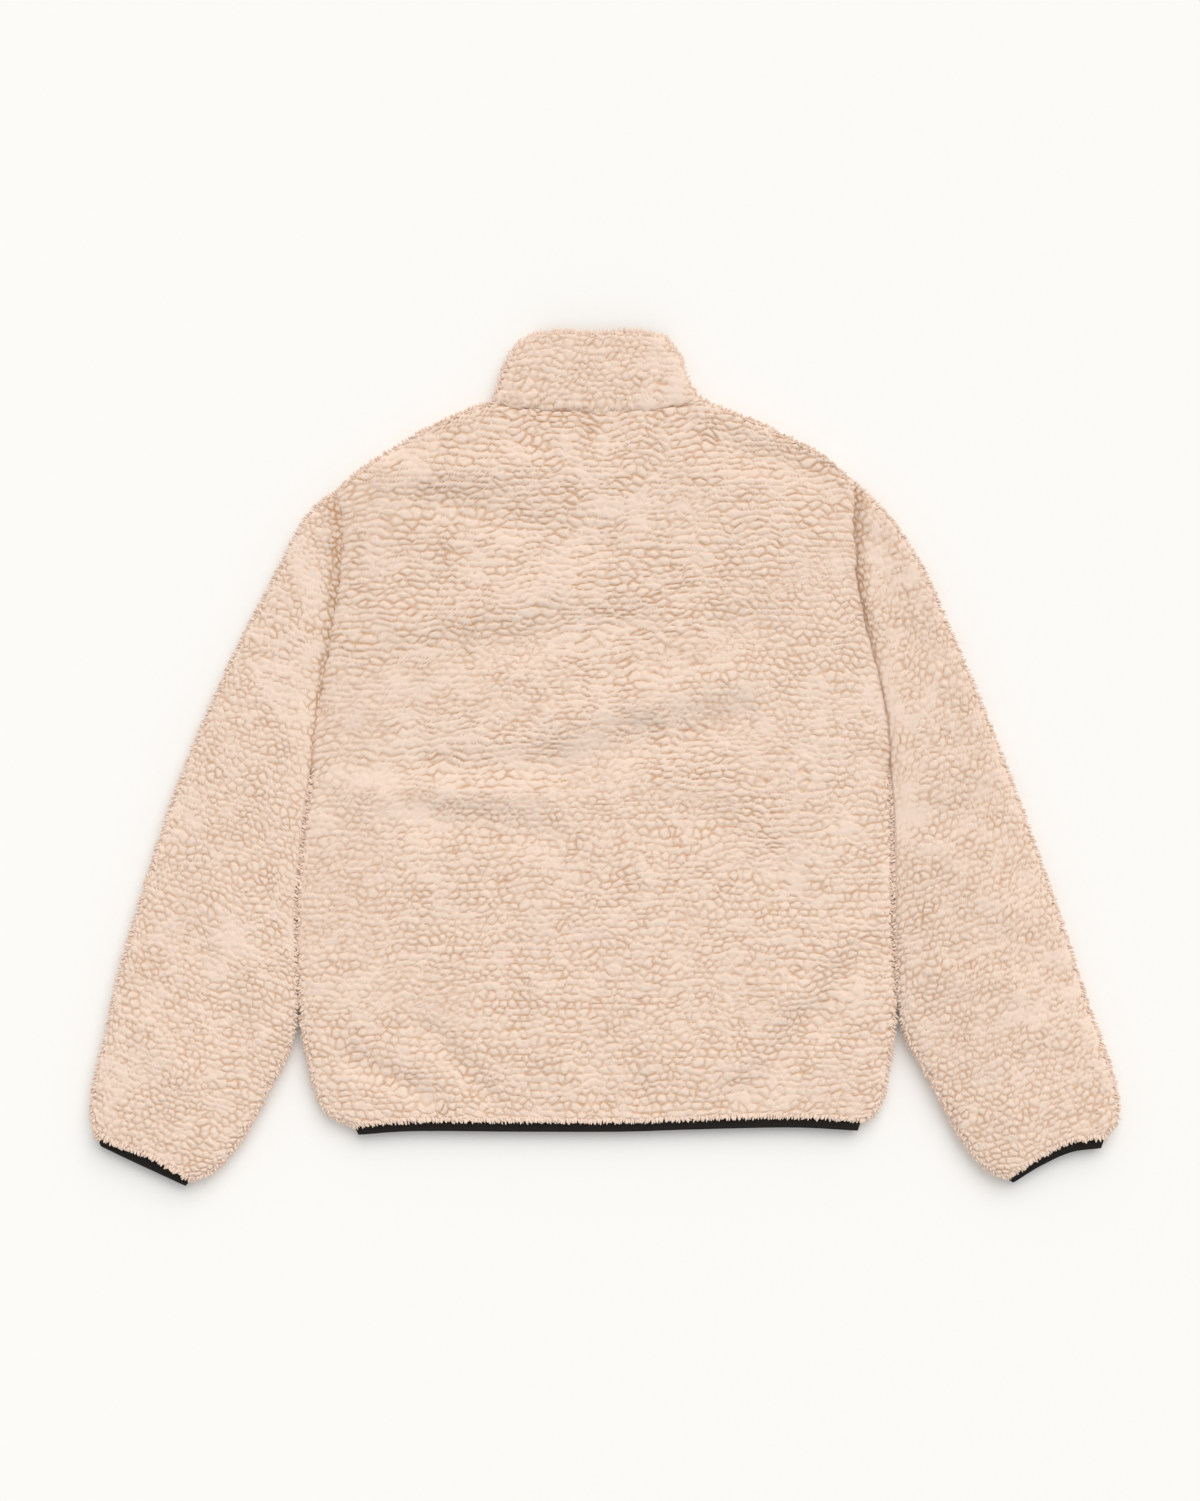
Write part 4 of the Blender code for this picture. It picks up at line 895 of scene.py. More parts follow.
def edge_locks(name, places, nap, rng):
    """Blunt locks of pile at places on layers' edges, over the outline and the bindings.

    Each is a cone of rings, of a size of its own, whose tip hangs over the way that the pile lies:
    towards higher v where nap is 1 and towards lower v where it is -1.
    """
    found = [layer.stance(u, v) for layer, u, v in places]
    _, _, across, out = (np.concatenate(parts) for parts in zip(*found))
    roots = np.concatenate([layer.lifted(u, v, np.zeros(len(u))) for layer, u, v in places])
    count = len(roots)
    down = unit(across * nap - out * (across * nap * out).sum(-1, keepdims=True))
    along = np.cross(down, out)
    roots = roots - out * LOCK_ROOT
    radius, level = np.array(LOCK_RINGS).T
    angle = np.arange(LOCK_SIDES) / LOCK_SIDES * 2 * np.pi + rng.uniform(0, 1, (count, 1))
    size = rng.uniform(0.7, 1.3, (count, 1, 1)) * radius[:, None]
    grown = LOCK_TALL * rng.uniform(0.65, 1.15, count)
    sway = rng.normal(0, LOCK_SWAY, count)
    x = LOCK_HALF * size * np.cos(angle)[:, None] + (sway[:, None] * level)[..., None]
    y = LOCK_HALF * size * np.sin(angle)[:, None] + LOCK_LEAN * level[:, None] ** 1.5
    z = np.broadcast_to((grown[:, None] * level)[..., None], x.shape)
    tip = np.stack([sway, np.full(count, LOCK_LEAN), grown], -1)
    local = np.concatenate([np.stack([x, y, z], -1).reshape(count, -1, 3), tip[:, None]], 1)
    points = roots[:, None] + np.einsum("nkc,ncd->nkd", local, np.stack([along, down, out], 1))
    points[..., 2] = np.maximum(points[..., 2], 0)

    each = len(LOCK_RINGS) * LOCK_SIDES + 1
    first = np.arange(LOCK_SIDES)
    after = (first + 1) % LOCK_SIDES
    rows = np.arange(len(LOCK_RINGS) - 1)[:, None] * LOCK_SIDES
    quads = np.stack([rows + first, rows + after, rows + LOCK_SIDES + after, rows + LOCK_SIDES + first], -1)
    last = (len(LOCK_RINGS) - 1) * LOCK_SIDES
    caps = np.stack([last + first, last + after, np.full(LOCK_SIDES, each - 1)], -1)
    base = np.arange(count)[:, None, None] * each
    quads = (quads.reshape(1, -1, 4) + base).reshape(-1, 4)
    caps = (caps[None] + base).reshape(-1, 3)

    cells = int(np.ceil(np.sqrt(count)))
    centre = np.stack([np.arange(count) % cells, np.arange(count) // cells], -1) + 0.5
    around = first / LOCK_SIDES * 2 * np.pi
    flat = (radius[:, None, None] * np.stack([np.cos(around), np.sin(around)], -1)).reshape(-1, 2)
    maps = (centre[:, None] + np.vstack([flat, [[0, 0]]]) * 0.46) / cells
    # Painted shade at each lock's root, darker towards it, and painted light on the locks, each a little
    # lighter than the pile
    shaded = 0.1 * (1 - np.append(np.repeat(level, LOCK_SIDES), 1.0))
    tone = rng.normal(1.5, 0.6, count)
    return new_piece(
        name, points.reshape(-1, 3), quads, caps, maps.reshape(-1, 2),
        {"pile_crevice_painted_shade": np.tile(shaded, count), "pile_tone_painted_light_and_shade": np.repeat(tone, each)},
    )


def lofted(loops):
    """A closed form through loops of as many points each, with a fan at either end.

    Gives its points, quads and triangles, facing outwards.
    """
    loops = np.asarray(loops, float)
    count, around = loops.shape[:2]
    spots = np.arange(count * around).reshape(count, around)
    after = np.roll(spots, -1, axis=1)
    quads = np.stack([spots[:-1], after[:-1], after[1:], spots[1:]], -1).reshape(-1, 4)
    start, end = (np.full(around, count * around + i) for i in (0, 1))
    fans = np.vstack([np.stack([after[0], spots[0], start], -1), np.stack([spots[-1], after[-1], end], -1)])
    points = np.vstack([loops.reshape(-1, 3), loops[0].mean(0), loops[-1].mean(0)])
    a, b, c = (points[fans[:, i]] for i in range(3))
    if volume(points, quads) + (np.cross(a, b) * c).sum() < 0:
        quads, fans = quads[:, ::-1], fans[:, ::-1]
    return points, quads, fans


def plate(outline, low, high, bevel):
    """A flat form with this outline, x and y, between two heights, with its edges bevelled."""
    outline = np.array(outline, float)
    middle = (outline.min(0) + outline.max(0)) / 2
    smaller = middle + (outline - middle) * (1 - bevel / (np.ptp(outline, axis=0) / 2))
    levels = ((smaller, low), (outline, low + bevel), (outline, high - bevel), (smaller, high))
    return lofted([np.insert(loop, 2, level, axis=1) for loop, level in levels])


def rounded(half_x, half_y, radius, middle=(0, 0)):
    """The outline of a rectangle with round corners: x and y of 16 points."""
    angle = np.linspace(0, 2 * np.pi, 16, endpoint=False) + np.pi / 16
    around = np.stack([np.cos(angle), np.sin(angle)], -1)
    return np.sign(around) * (half_x - radius, half_y - radius) + radius * around + middle


def merged(name, shapes):
    """One mesh of several shapes, each given by its points, quads and triangles."""
    starts = np.cumsum([0] + [len(points) for points, _, _ in shapes])
    points, quads, triangles = zip(*shapes)
    return new_piece(
        name, np.vstack(points), np.vstack([part + start for part, start in zip(quads, starts)]),
        np.vstack([part + start for part, start in zip(triangles, starts)]),
    )


def copies(name, shape, places, axes):
    """One mesh of a small shape at many places, with its x, y and z along the axes given for each."""
    points, quads, triangles = shape
    made = places[:, None] + np.einsum("kc,ncd->nkd", points, axes)
    base = np.arange(len(places))[:, None, None] * len(points)
    quads, triangles = (quads + base).reshape(-1, 4), (triangles + base).reshape(-1, 3)
    return new_piece(name, made.reshape(-1, 3), quads, triangles)


def stitching(name, layers):
    """A row of lockstitches on each layer of a binding, part of the way to its folded edge."""
    angle = np.arange(6) / 6 * 2 * np.pi
    stitch = lofted([
        np.stack([np.full(6, x), radius * np.cos(angle), up + radius * np.sin(angle)], -1)
        for x, radius, up in STITCH
    ])
    places, axes = [], []
    for layer in layers:
        width = layer.sizes(np.float64(0.5), np.float64(STITCH_PART))[0]
        u = np.linspace(0, 1, int(width / STITCH_PITCH) + 2)[1:-1]
        points, along, _, out = layer.stance(u, np.full(len(u), STITCH_PART))
        places.append(points)
        axes.append(np.stack([along, np.cross(out, along), out], 1))
    return copies(name, stitch, np.concatenate(places), np.concatenate(axes))


def zip_teeth(low, high):
    """Both rows of moulded teeth between two heights, closed: half a pitch apart, head past head."""
    corners = np.array([(1, 1), (-1, 1), (-1, -1), (1, -1)])
    tooth = lofted([np.insert(corners * half, 0, x, axis=1) for x, *half in TOOTH])
    made = []
    for side, away, shift in (("left", -1, 0.0), ("right", 1, TEETH_PITCH / 2)):
        y = np.arange(low + TEETH_END + shift, high - TEETH_END, TEETH_PITCH)
        places = np.stack([np.full(len(y), ZIP_X + away * TEETH_X), y, np.full(len(y), ZIP_Z)], -1)
        axes = np.broadcast_to(np.diag([-away, -away, 1.0]), (len(y), 3, 3))
        made.append(copies(f"zip_teeth_{side}", tooth, places, axes))
    return made


def zip_tape(side, away, low, high):
    """A woven tape, with the cord along its edge that the teeth are moulded on."""
    place, half = np.array(TAPE_SECTIONS).T
    across, y = np.meshgrid(ZIP_X + away * place, np.linspace(low, high, 90))
    wave = TAPE_WAVE * np.sin(y / TAPE_RIPPLE) * np.linspace(0, 1, len(place))
    faces = [np.stack([across, y, ZIP_Z + wave + part * half], -1) for part in (1, -1)]
    return wall(f"zip_tape_{side}_woven", *faces)


def zip_slider(low):
    """The slider's two plates with their side flanges, the web between them and the pull's two lugs."""
    middle = low + SLIDER_LENGTH / 2
    outline = rounded(SLIDER_HALF, SLIDER_LENGTH / 2, 2.2, (ZIP_X, middle))
    outline[:, 0] = ZIP_X + (outline[:, 0] - ZIP_X) * (0.86 + 0.14 * (outline[:, 1] - low) / SLIDER_LENGTH)
    outer_low, outer_high, inner_low, inner_high = SLIDER_PLATES
    shapes = [plate(outline, outer_low, outer_high, 0.4), plate(outline, inner_low, inner_high, 0.4)]
    web = rounded(1.4, 3.4, 1.2, (ZIP_X, middle + 2.0))
    shapes.append(plate(web, outer_high - 0.2, inner_low + 0.2, 0.1))
    for away in (-1, 1):
        flange = rounded(0.35, 4.2, 0.3, (ZIP_X + away * FLANGE_X, middle))
        shapes.append(plate(flange, outer_high - 0.2, outer_high + FLANGE_HIGH, 0.15))
        shapes.append(plate(flange, inner_low - FLANGE_HIGH, inner_low + 0.2, 0.15))
        points, quads, fans = plate(rounded(1.6, 2.1, 1.3), -0.5, 0.5, 0.2)
        lug = points @ np.array([(0, 1, 0), (0, 0, 1), (1, 0, 0)]) + (ZIP_X + away * LUG_X, middle, LUG_Z)
        shapes.append((lug, quads, fans))
    return merged("zip_slider_body", shapes)


def zip_pull(low):
    """The pull: a tab with a raised rim and a waist, on a round pin between the lugs."""
    middle = low + SLIDER_LENGTH / 2
    outline = np.array([*PULL_HALF, *((-x, y) for x, y in PULL_HALF[::-1])]) + (ZIP_X, middle)
    top = PULL_AXIS_Z
    shapes = [plate(outline, top - PULL_THICKNESS, top, 0.25)]
    shapes.append(plate(rounded(2.5, 5.4, 1.4, (ZIP_X, middle - 13.4)), top - 0.3, top + 0.15, 0.12))
    angle = np.linspace(0, 2 * np.pi, 12, endpoint=False)
    shapes.append(lofted([
        np.stack([
            np.full(12, ZIP_X + x), middle + PIN_RADIUS * np.cos(angle), top + PIN_RADIUS * np.sin(angle),
        ], -1)
        for x in (-PIN_HALF, PIN_HALF)
    ]))
    return merged("zip_pull_tab", shapes)


# ---------------------------------------------------------------- materials


def linear(colour):
    """An sRGB hex colour as linear red, green, blue and alpha."""
    parts = np.array([int(colour[i:i + 2], 16) for i in (1, 3, 5)]) / 255
    parts = np.where(parts <= 0.04045, parts / 12.92, ((parts + 0.055) / 1.055) ** 2.4)
    return (*parts, 1.0)


def add_node(tree, kind, inputs=None, **settings):
    """A node with its settings, its inputs set or linked by name or number."""
    made = tree.nodes.new(kind)
    for key, value in settings.items():
        setattr(made, key, value)
    for key, value in (inputs or {}).items():
        if isinstance(value, bpy.types.NodeSocket):
            tree.links.new(value, made.inputs[key])
        else:
            made.inputs[key].default_value = value
    return made


def new_material(name):
    """A material, its tree of nodes and its shader."""
    made = bpy.data.materials.new(name)
    made.use_nodes = True
    return made, made.node_tree, made.node_tree.nodes["Principled BSDF"]


MIX_FACTOR, MIX_A, MIX_B, MIX_RESULT = 0, 6, 7, 2  # sockets of a Mix node on colours


def pile_fleece():
    """Curly polyester pile, knitted, raised and tumbled: soft pale curls, with painted tan shade in the
    crevices and painted light and shade on the curls.
    """
    made, tree, shader = new_material("polyester_pile_fleece_knitted_and_tumbled")
    place = add_node(tree, "ShaderNodeTexCoord").outputs["Object"]
    crevice = add_node(tree, "ShaderNodeAttribute", attribute_name="pile_crevice_painted_shade").outputs["Fac"]
    tone = add_node(tree, "ShaderNodeAttribute", attribute_name="pile_tone_painted_light_and_shade").outputs["Fac"]
    # Painted shade: the colour goes from the pale curls to tan as the crevice value rises, standing in for
    # the shade down in the crevices and at the locks' roots
    shaded = add_node(tree, "ShaderNodeMapRange", {
        "Value": crevice, "From Min": 0.15, "From Max": 0.95, "To Min": 0.0, "To Max": 1.0,
    }).outputs["Result"]
    colour = add_node(tree, "ShaderNodeMix", {
        MIX_FACTOR: shaded, MIX_A: linear("#eed6c4"), MIX_B: linear("#c2946c"),
    }, data_type="RGBA").outputs[MIX_RESULT]
    # Painted light and shade on the curls: each a little lighter or darker than the next, lighter beside
    # folds and on the locks, darker beside seams drawn under, and wide soft patches
    patches = add_node(tree, "ShaderNodeTexNoise", {"Vector": place, "Scale": 1 / (45 * MM)}).outputs["Fac"]
    value = add_node(tree, "ShaderNodeMath", {0: tone, 1: 0.02, 2: 0.93}, operation="MULTIPLY_ADD")
    value = add_node(tree, "ShaderNodeMath", {
        0: patches, 1: 0.05, 2: value.outputs[0],
    }, operation="MULTIPLY_ADD")
    # Crimped fibres in bunches 1.7 mm wide, with finer ones in them
    crimp = add_node(tree, "ShaderNodeTexNoise", {
        "Vector": place, "Scale": 1 / (1.7 * MM), "Detail": 4.0, "Roughness": 0.6, "Distortion": 1.4,
    }).outputs["Fac"]
    value = add_node(tree, "ShaderNodeMath", {
        0: crimp, 1: 0.10, 2: value.outputs[0],
    }, operation="MULTIPLY_ADD").outputs[0]
    colour = add_node(tree, "ShaderNodeHueSaturation", {"Color": colour, "Value": value}).outputs["Color"]
    bump = add_node(tree, "ShaderNodeBump", {"Height": crimp, "Strength": 0.6, "Distance": 0.8 * MM})
    tree.links.new(colour, shader.inputs["Base Color"])
    tree.links.new(bump.outputs["Normal"], shader.inputs["Normal"])
    shader.inputs["Roughness"].default_value = 0.95
    shader.inputs["Specular IOR Level"].default_value = 0.15
    shader.inputs["Sheen Weight"].default_value = 0.5
    shader.inputs["Sheen Roughness"].default_value = 0.6
    return made


def fleece_backing():
    """The fleece's knitted backing, seen only inside the collar: tan, with fine loops."""
    made, tree, shader = new_material("polyester_fleece_backing_weft_knitted")
    place = add_node(tree, "ShaderNodeTexCoord").outputs["Object"]
    loops = add_node(tree, "ShaderNodeTexWave", {
        "Vector": place, "Scale": 1 / (8 * MM), "Distortion": 2.0, "Detail": 1.0,
    }, bands_direction="Y").outputs["Fac"]
    colour = add_node(tree, "ShaderNodeMix", {
        MIX_FACTOR: loops, MIX_A: linear("#c39b70"), MIX_B: linear("#d8b48c"),
    }, data_type="RGBA").outputs[MIX_RESULT]
    bump = add_node(tree, "ShaderNodeBump", {"Height": loops, "Strength": 0.5, "Distance": 0.3 * MM})
    tree.links.new(colour, shader.inputs["Base Color"])
    tree.links.new(bump.outputs["Normal"], shader.inputs["Normal"])
    shader.inputs["Roughness"].default_value = 0.95
    shader.inputs["Specular IOR Level"].default_value = 0.15
    return made


def elastic_binding():
    """Knitted elastane binding, folded over the edge: nearly black, matt, with ribs along it."""
    made, tree, shader = new_material("elastane_binding_warp_knitted")
    place = add_node(tree, "ShaderNodeTexCoord").outputs["Object"]
    fine = add_node(tree, "ShaderNodeTexNoise", {"Vector": place, "Scale": 1 / (0.8 * MM), "Detail": 2.0})
    ribs = add_node(tree, "ShaderNodeTexWave", {
        "Vector": place, "Scale": 1 / (18 * MM), "Distortion": 0.6,
    }, bands_direction="Y")
    height = add_node(tree, "ShaderNodeMath", {
        0: fine.outputs["Fac"], 1: ribs.outputs["Fac"],
    }, operation="ADD")
    colour = add_node(tree, "ShaderNodeMix", {
        MIX_FACTOR: fine.outputs["Fac"], MIX_A: linear("#120f0d"), MIX_B: linear("#241e1a"),
    }, data_type="RGBA").outputs[MIX_RESULT]
    bump = add_node(tree, "ShaderNodeBump", {
        "Height": height.outputs[0], "Strength": 0.4, "Distance": 0.2 * MM,
    })
    tree.links.new(colour, shader.inputs["Base Color"])
    tree.links.new(bump.outputs["Normal"], shader.inputs["Normal"])
    shader.inputs["Roughness"].default_value = 0.8
    shader.inputs["Specular IOR Level"].default_value = 0.25
    return made


def sewing_thread():
    """Spun polyester thread: nearly black, with its two plies as a fine twist."""
    made, tree, shader = new_material("spun_polyester_thread_two_ply")
    place = add_node(tree, "ShaderNodeTexCoord").outputs["Object"]
    twist = add_node(tree, "ShaderNodeTexWave", {
        "Vector": place, "Scale": 1 / (2.4 * MM), "Distortion": 1.0,
    }, bands_direction="DIAGONAL").outputs["Fac"]
    colour = add_node(tree, "ShaderNodeMix", {
        MIX_FACTOR: twist, MIX_A: linear("#15110f"), MIX_B: linear("#332b26"),
    }, data_type="RGBA").outputs[MIX_RESULT]
    tree.links.new(colour, shader.inputs["Base Color"])
    shader.inputs["Roughness"].default_value = 0.6
    return made


def woven_tape():
    """Woven polyester zip tape: a herringbone twill, which turns every three millimetres."""
    made, tree, shader = new_material("polyester_zip_tape_woven_herringbone")
    place = add_node(tree, "ShaderNodeTexCoord").outputs["Object"]
    parts = add_node(tree, "ShaderNodeSeparateXYZ", {"Vector": place}).outputs
    turned = add_node(tree, "ShaderNodeMath", {0: parts["X"], 1: 3 * MM}, operation="PINGPONG").outputs[0]
    slope = add_node(tree, "ShaderNodeMath", {0: turned, 1: parts["Y"]}, operation="ADD").outputs[0]
    turns = 2 * np.pi / (0.9 * MM)  # a yarn every 0.9 mm
    yarns = add_node(tree, "ShaderNodeMath", {0: slope, 1: turns}, operation="MULTIPLY").outputs[0]
    yarns = add_node(tree, "ShaderNodeMath", {0: yarns}, operation="SINE").outputs[0]
    shade = add_node(tree, "ShaderNodeMapRange", {"Value": yarns, "From Min": -1.0}).outputs["Result"]
    colour = add_node(tree, "ShaderNodeMix", {
        MIX_FACTOR: shade, MIX_A: linear("#bda58d"), MIX_B: linear("#d5bfa8"),
    }, data_type="RGBA").outputs[MIX_RESULT]
    bump = add_node(tree, "ShaderNodeBump", {"Height": shade, "Strength": 0.5, "Distance": 0.15 * MM})
    tree.links.new(colour, shader.inputs["Base Color"])
    tree.links.new(bump.outputs["Normal"], shader.inputs["Normal"])
    shader.inputs["Roughness"].default_value = 0.85
    return made


def moulded_acetal():
    """Injection-moulded acetal: an even satin, a little cloudy in its colour and its gloss."""
    made, tree, shader = new_material("acetal_injection_moulded")
    place = add_node(tree, "ShaderNodeTexCoord").outputs["Object"]
    cloud = add_node(tree, "ShaderNodeTexNoise", {"Vector": place, "Scale": 1 / (3 * MM), "Detail": 3.0})
    colour = add_node(tree, "ShaderNodeMix", {
        MIX_FACTOR: cloud.outputs["Fac"], MIX_A: linear("#c6b29b"), MIX_B: linear("#d3c1ab"),
    }, data_type="RGBA").outputs[MIX_RESULT]
    rough = add_node(tree, "ShaderNodeMapRange", {
        "Value": cloud.outputs["Fac"], "To Min": 0.34, "To Max": 0.48,
    }).outputs["Result"]
    tree.links.new(colour, shader.inputs["Base Color"])
    tree.links.new(rough, shader.inputs["Roughness"])
    return made


def painted_zinc():
    """Die-cast zinc with a baked satin paint: an even colour and a faint orange peel."""
    made, tree, shader = new_material("zinc_die_cast_painted")
    place = add_node(tree, "ShaderNodeTexCoord").outputs["Object"]
    peel = add_node(tree, "ShaderNodeTexNoise", {"Vector": place, "Scale": 1 / (0.9 * MM), "Detail": 2.0})
    colour = add_node(tree, "ShaderNodeMix", {
        MIX_FACTOR: peel.outputs["Fac"], MIX_A: linear("#bfab94"), MIX_B: linear("#c9b6a0"),
    }, data_type="RGBA").outputs[MIX_RESULT]
    rough = add_node(tree, "ShaderNodeMapRange", {
        "Value": peel.outputs["Fac"], "To Min": 0.26, "To Max": 0.42,
    }).outputs["Result"]
    bump = add_node(tree, "ShaderNodeBump", {
        "Height": peel.outputs["Fac"], "Strength": 0.25, "Distance": 0.03 * MM,
    })
    tree.links.new(colour, shader.inputs["Base Color"])
    tree.links.new(rough, shader.inputs["Roughness"])
    tree.links.new(bump.outputs["Normal"], shader.inputs["Normal"])
    shader.inputs["Metallic"].default_value = 0.3
    return made


# ---------------------------------------------------------------- stage


def floor_and_light():
    """A plain pale floor, a wide soft light from above the collar and an even surround."""
    far, low = 3000.0, -0.3
    corners = [(-far, -far, low), (far, -far, low), (far, far, low), (-far, far, low)]
    floor = new_piece("floor", corners, [(0, 1, 2, 3)])
    paper, tree, shader = new_material("matt_white_paper_sweep")
    grain = add_node(tree, "ShaderNodeTexNoise", {"Scale": 1 / (400 * MM)}).outputs["Fac"]
    colour = add_node(tree, "ShaderNodeMix", {
        MIX_FACTOR: grain, MIX_A: linear("#f4f3f1"), MIX_B: linear("#f6f5f3"),
    }, data_type="RGBA").outputs[MIX_RESULT]
    tree.links.new(colour, shader.inputs["Base Color"])
    shader.inputs["Roughness"].default_value = 0.9
    shader.inputs["Specular IOR Level"].default_value = 0.1
    floor.data.materials.append(paper)

    world = bpy.data.worlds.new("studio")
    bpy.context.scene.world = world
    world.use_nodes = True
    world.node_tree.nodes["Background"].inputs["Color"].default_value = (1.0, 0.996, 0.988, 1)
    world.node_tree.nodes["Background"].inputs["Strength"].default_value = 0.66
    bpy.context.scene.view_settings.view_transform = "Standard"

    key = bpy.data.lights.new("large_softbox", "SUN")
    key.angle = np.radians(55)
    key.energy = 1.69
    key.color = (1.0, 0.996, 0.985)
    made = bpy.data.objects.new("large_softbox", key)
    made.location = (0.7, 2.0, 2.5)
    made.rotation_euler = made.location.to_track_quat("Z", "Y").to_euler()
    bpy.context.scene.collection.objects.link(made)


def overhead_camera():
    """Straight above the middle of the photographed area, 1140 by 1426 mm."""
    centre, frame_height, lens, sensor = (-4.3, 7.6), 1426.0, 85.0, 36.0
    level = 14.0  # height of the cloth that the frame's size is right for
    camera = bpy.data.cameras.new("overhead")
    camera.lens, camera.sensor_width, camera.sensor_fit = lens, sensor, "AUTO"
    camera.clip_start, camera.clip_end = 0.1, 20.0
    made = bpy.data.objects.new("overhead", camera)
    made.location = np.array([*centre, level + frame_height * lens / sensor]) * MM
    bpy.context.scene.collection.objects.link(made)
    bpy.context.scene.camera = made


# ---------------------------------------------------------------- the jacket


def finish_piece(piece, material, slot, *nodes, body="jacket"):
    """Give a piece its material and its body, and hide the nodes that it stands for. The slot is not used.
    """
    piece.data.materials.append(material)
    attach(piece, body)
    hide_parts(*nodes)
    return piece


def make_back(pile, backing, rng):
    """The back: its cloth, what that lies on, and its pile and locks."""
    back = back_layer()
    cloth = wall("back_cloth", *grid(back, crowded(72), crowded(84), FELT_DEPTH))
    finish_piece(cloth, backing, "pile_fleece", "back")
    pieces = piled("back_pile", back, (LONG_CURL, SHORT_CURL), FINE_STEP, splits=(0, 0.34, 0.67, 1), seed=11)
    places = lock_places(back, rng, ("left", "right", "top"), "bottom", BINDING_ROOT)
    pieces.append(edge_locks("back_locks", places, -1, rng))
    for piece in pieces:
        finish_piece(piece, pile, "pile_fleece", "back")
    return cloth, FRONTS, pieces


def make_front(side, pile, backing, seed):
    """A front: its cloth, what that lies on, and its pile."""
    layer = front_layer(side == "left")
    cloth = wall(f"front_{side}_cloth", *grid(layer, crowded(36), crowded(60), FELT_DEPTH))
    finish_piece(cloth, backing, "pile_fleece", f"front_{side}")
    pieces = piled(f"front_{side}_pile", layer, (FLAT_CURL,), COARSE_STEP, seed=seed)
    for piece in pieces:
        finish_piece(piece, pile, "pile_fleece", f"front_{side}")
    return cloth, ["floor"], pieces


def make_sleeve(side, pile, backing, rng, seed):
    """A sleeve: its cloth all round, what that lies on, and its two sheets of pile and its locks."""
    layers = sleeve_layers(side)
    faces = zip(*(grid(layer, crowded(32), crowded(70), FELT_DEPTH) for layer in layers))
    cloth = wall(f"sleeve_{side}_cloth", *(ring(*pair) for pair in faces), tube=True)
    finish_piece(cloth, backing, "pile_fleece", f"sleeve_{side}")
    turn = SLEEVE_TURNS[side]
    pieces = piled(f"sleeve_{side}_pile_upper", layers[0], (ROUND_CURL,), FINE_STEP, turn, seed=seed)
    pieces += piled(f"sleeve_{side}_pile_lower", layers[1], (FLAT_CURL,), COARSE_STEP, turn, seed=seed + 20)
    places = lock_places(layers[0], rng, ("left", "right"), "top", BINDING_ROOT)
    pieces.append(edge_locks(f"sleeve_{side}_locks", places, 1, rng))
    for piece in pieces:
        finish_piece(piece, pile, "pile_fleece", f"sleeve_{side}")
    return cloth, ["floor"], pieces


def make_collar(pile, backing, rng):
    """The collar: its band of cloth, what that lies on, and its three sheets of pile and its locks."""
    layers = collar_layers()
    faces = zip(*(grid(layer, crowded(40), crowded(24), FELT_DEPTH) for layer in layers))
    cloth = wall("collar_cloth", *(band(*trio) for trio in faces))
    finish_piece(cloth, backing, "pile_fleece", "collar")
    pieces = piled("collar_pile_back", layers[0], (ROUND_CURL,), FINE_STEP, seed=91)
    pieces += piled("collar_pile_left", layers[1], (FLAT_CURL,), COARSE_STEP, seed=92)
    pieces += piled("collar_pile_right", layers[2], (FLAT_CURL,), COARSE_STEP, seed=93)
    places = lock_places(layers[0], rng, ("left", "right"), "top")
    pieces.append(edge_locks("collar_locks", places, 1, rng))
    for piece in pieces:
        finish_piece(piece, pile, "pile_fleece", "collar")
    return cloth, ["floor"], pieces


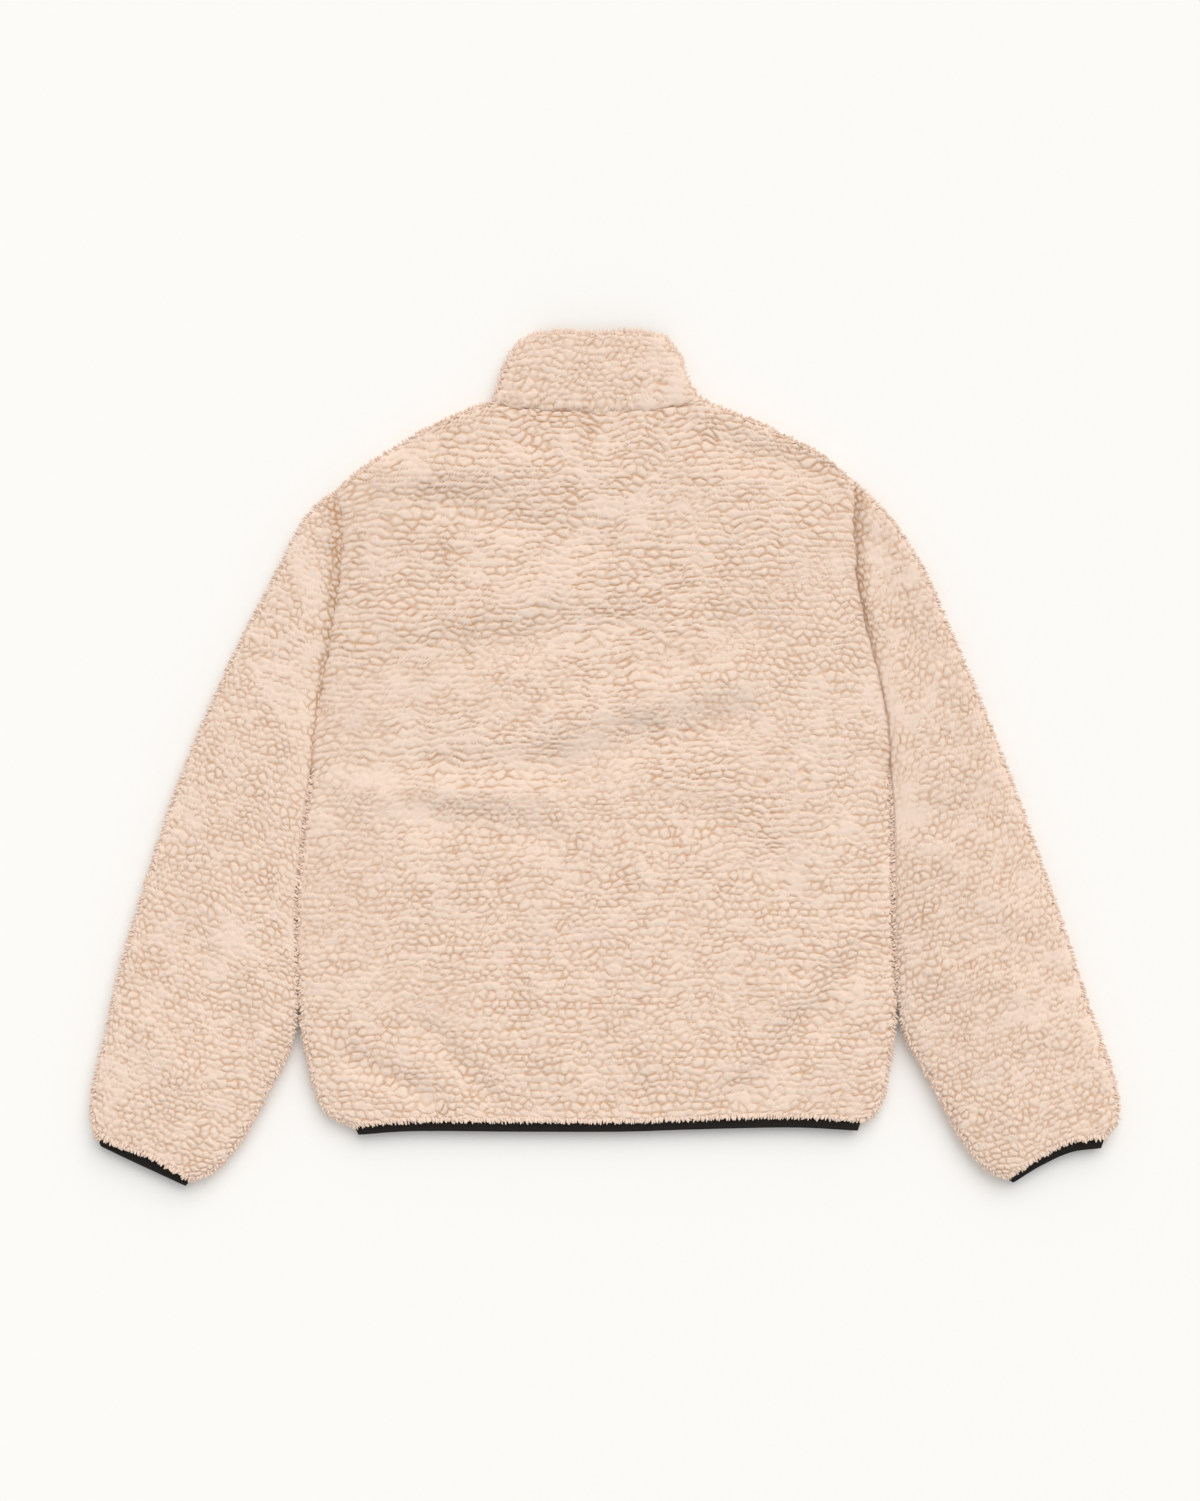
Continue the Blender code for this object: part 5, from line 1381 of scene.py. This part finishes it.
def make_bindings(elastic, thread):
    """The bindings: for each its band, what that lies on, and its stitches."""
    made = []
    for side in ("left", "right"):
        layers = cuff_layers(side)
        faces = zip(*(grid(layer, crowded(50), crowded(14), 0.0) for layer in layers))
        piece = wall(f"cuff_binding_{side}_band", *(ring(*pair) for pair in faces), tube=True)
        finish_piece(piece, elastic, "elastic_binding", f"cuff_binding_{side}")
        sewn = stitching(f"cuff_binding_{side}_stitches", layers)
        finish_piece(sewn, thread, "elastic_binding", f"cuff_binding_{side}")
        made.append((piece, [f"sleeve_{side}_cloth"], [sewn]))
    layers = hem_layers()
    faces = zip(*(grid(layer, crowded(110), crowded(14), 0.0) for layer in layers))
    piece = wall("hem_binding_band", *(band(*trio) for trio in faces))
    finish_piece(piece, elastic, "elastic_binding", "hem_binding")
    sewn = stitching("hem_binding_stitches", layers)
    finish_piece(sewn, thread, "elastic_binding", "hem_binding")
    made.append((piece, FRONTS, [sewn]))
    return made


def make_zip():
    """The zip. Gives its tapes, each with what it lies on."""
    tape, acetal, zinc = woven_tape(), moulded_acetal(), painted_zinc()
    hem_y = smooth_line(HEM, 0.5)[1]
    top_y = FRONT_COLLAR_Y - ZIP_DOWN
    slider_low, box_low = top_y - SLIDER_LENGTH, hem_y - BOX_DOWN
    tapes = []
    for side, away in (("left", -1), ("right", 1)):
        piece = zip_tape(side, away, hem_y + TAPE_UP, top_y)
        finish_piece(piece, tape, "zip_tape", f"zip_tape_{side}")
        tapes.append((piece, [f"front_{side}_cloth"], []))
    for piece in zip_teeth(box_low + BOX_LENGTH + GAP, slider_low - GAP):
        finish_piece(piece, acetal, "zip_teeth", "zip_chain")
    middle = (ZIP_X, box_low + BOX_LENGTH / 2)
    shape = plate(rounded(BOX_HALF, BOX_LENGTH / 2, 0.9, middle), *BOX_Z, 0.6)
    rib = plate(rounded(BOX_HALF - 1, 0.5, 0.4, middle), BOX_Z[0] - 0.25, BOX_Z[0] + 0.3, 0.2)
    finish_piece(merged("zip_box_moulded", [shape, rib]), acetal, "zip_teeth", "zip_box")
    finish_piece(zip_slider(slider_low), zinc, "zip_metal", "zip_slider")
    finish_piece(zip_pull(slider_low), zinc, "zip_metal", "zip_pull", body="pull")
    return tapes


def make_jacket():
    """The whole jacket. Gives each sheet of cloth, what it lies on and the pieces that go with it."""
    rng = np.random.default_rng(7)
    pile, backing = pile_fleece(), fleece_backing()
    made = [make_back(pile, backing, rng), make_collar(pile, backing, rng)]
    for number, side in enumerate(("left", "right")):
        made.append(make_front(side, pile, backing, 31 + number))
        made.append(make_sleeve(side, pile, backing, rng, 51 + number))
    made += make_bindings(elastic_binding(), sewing_thread()) + make_zip()
    return made


sheets = make_jacket()
floor_and_light()
overhead_camera()
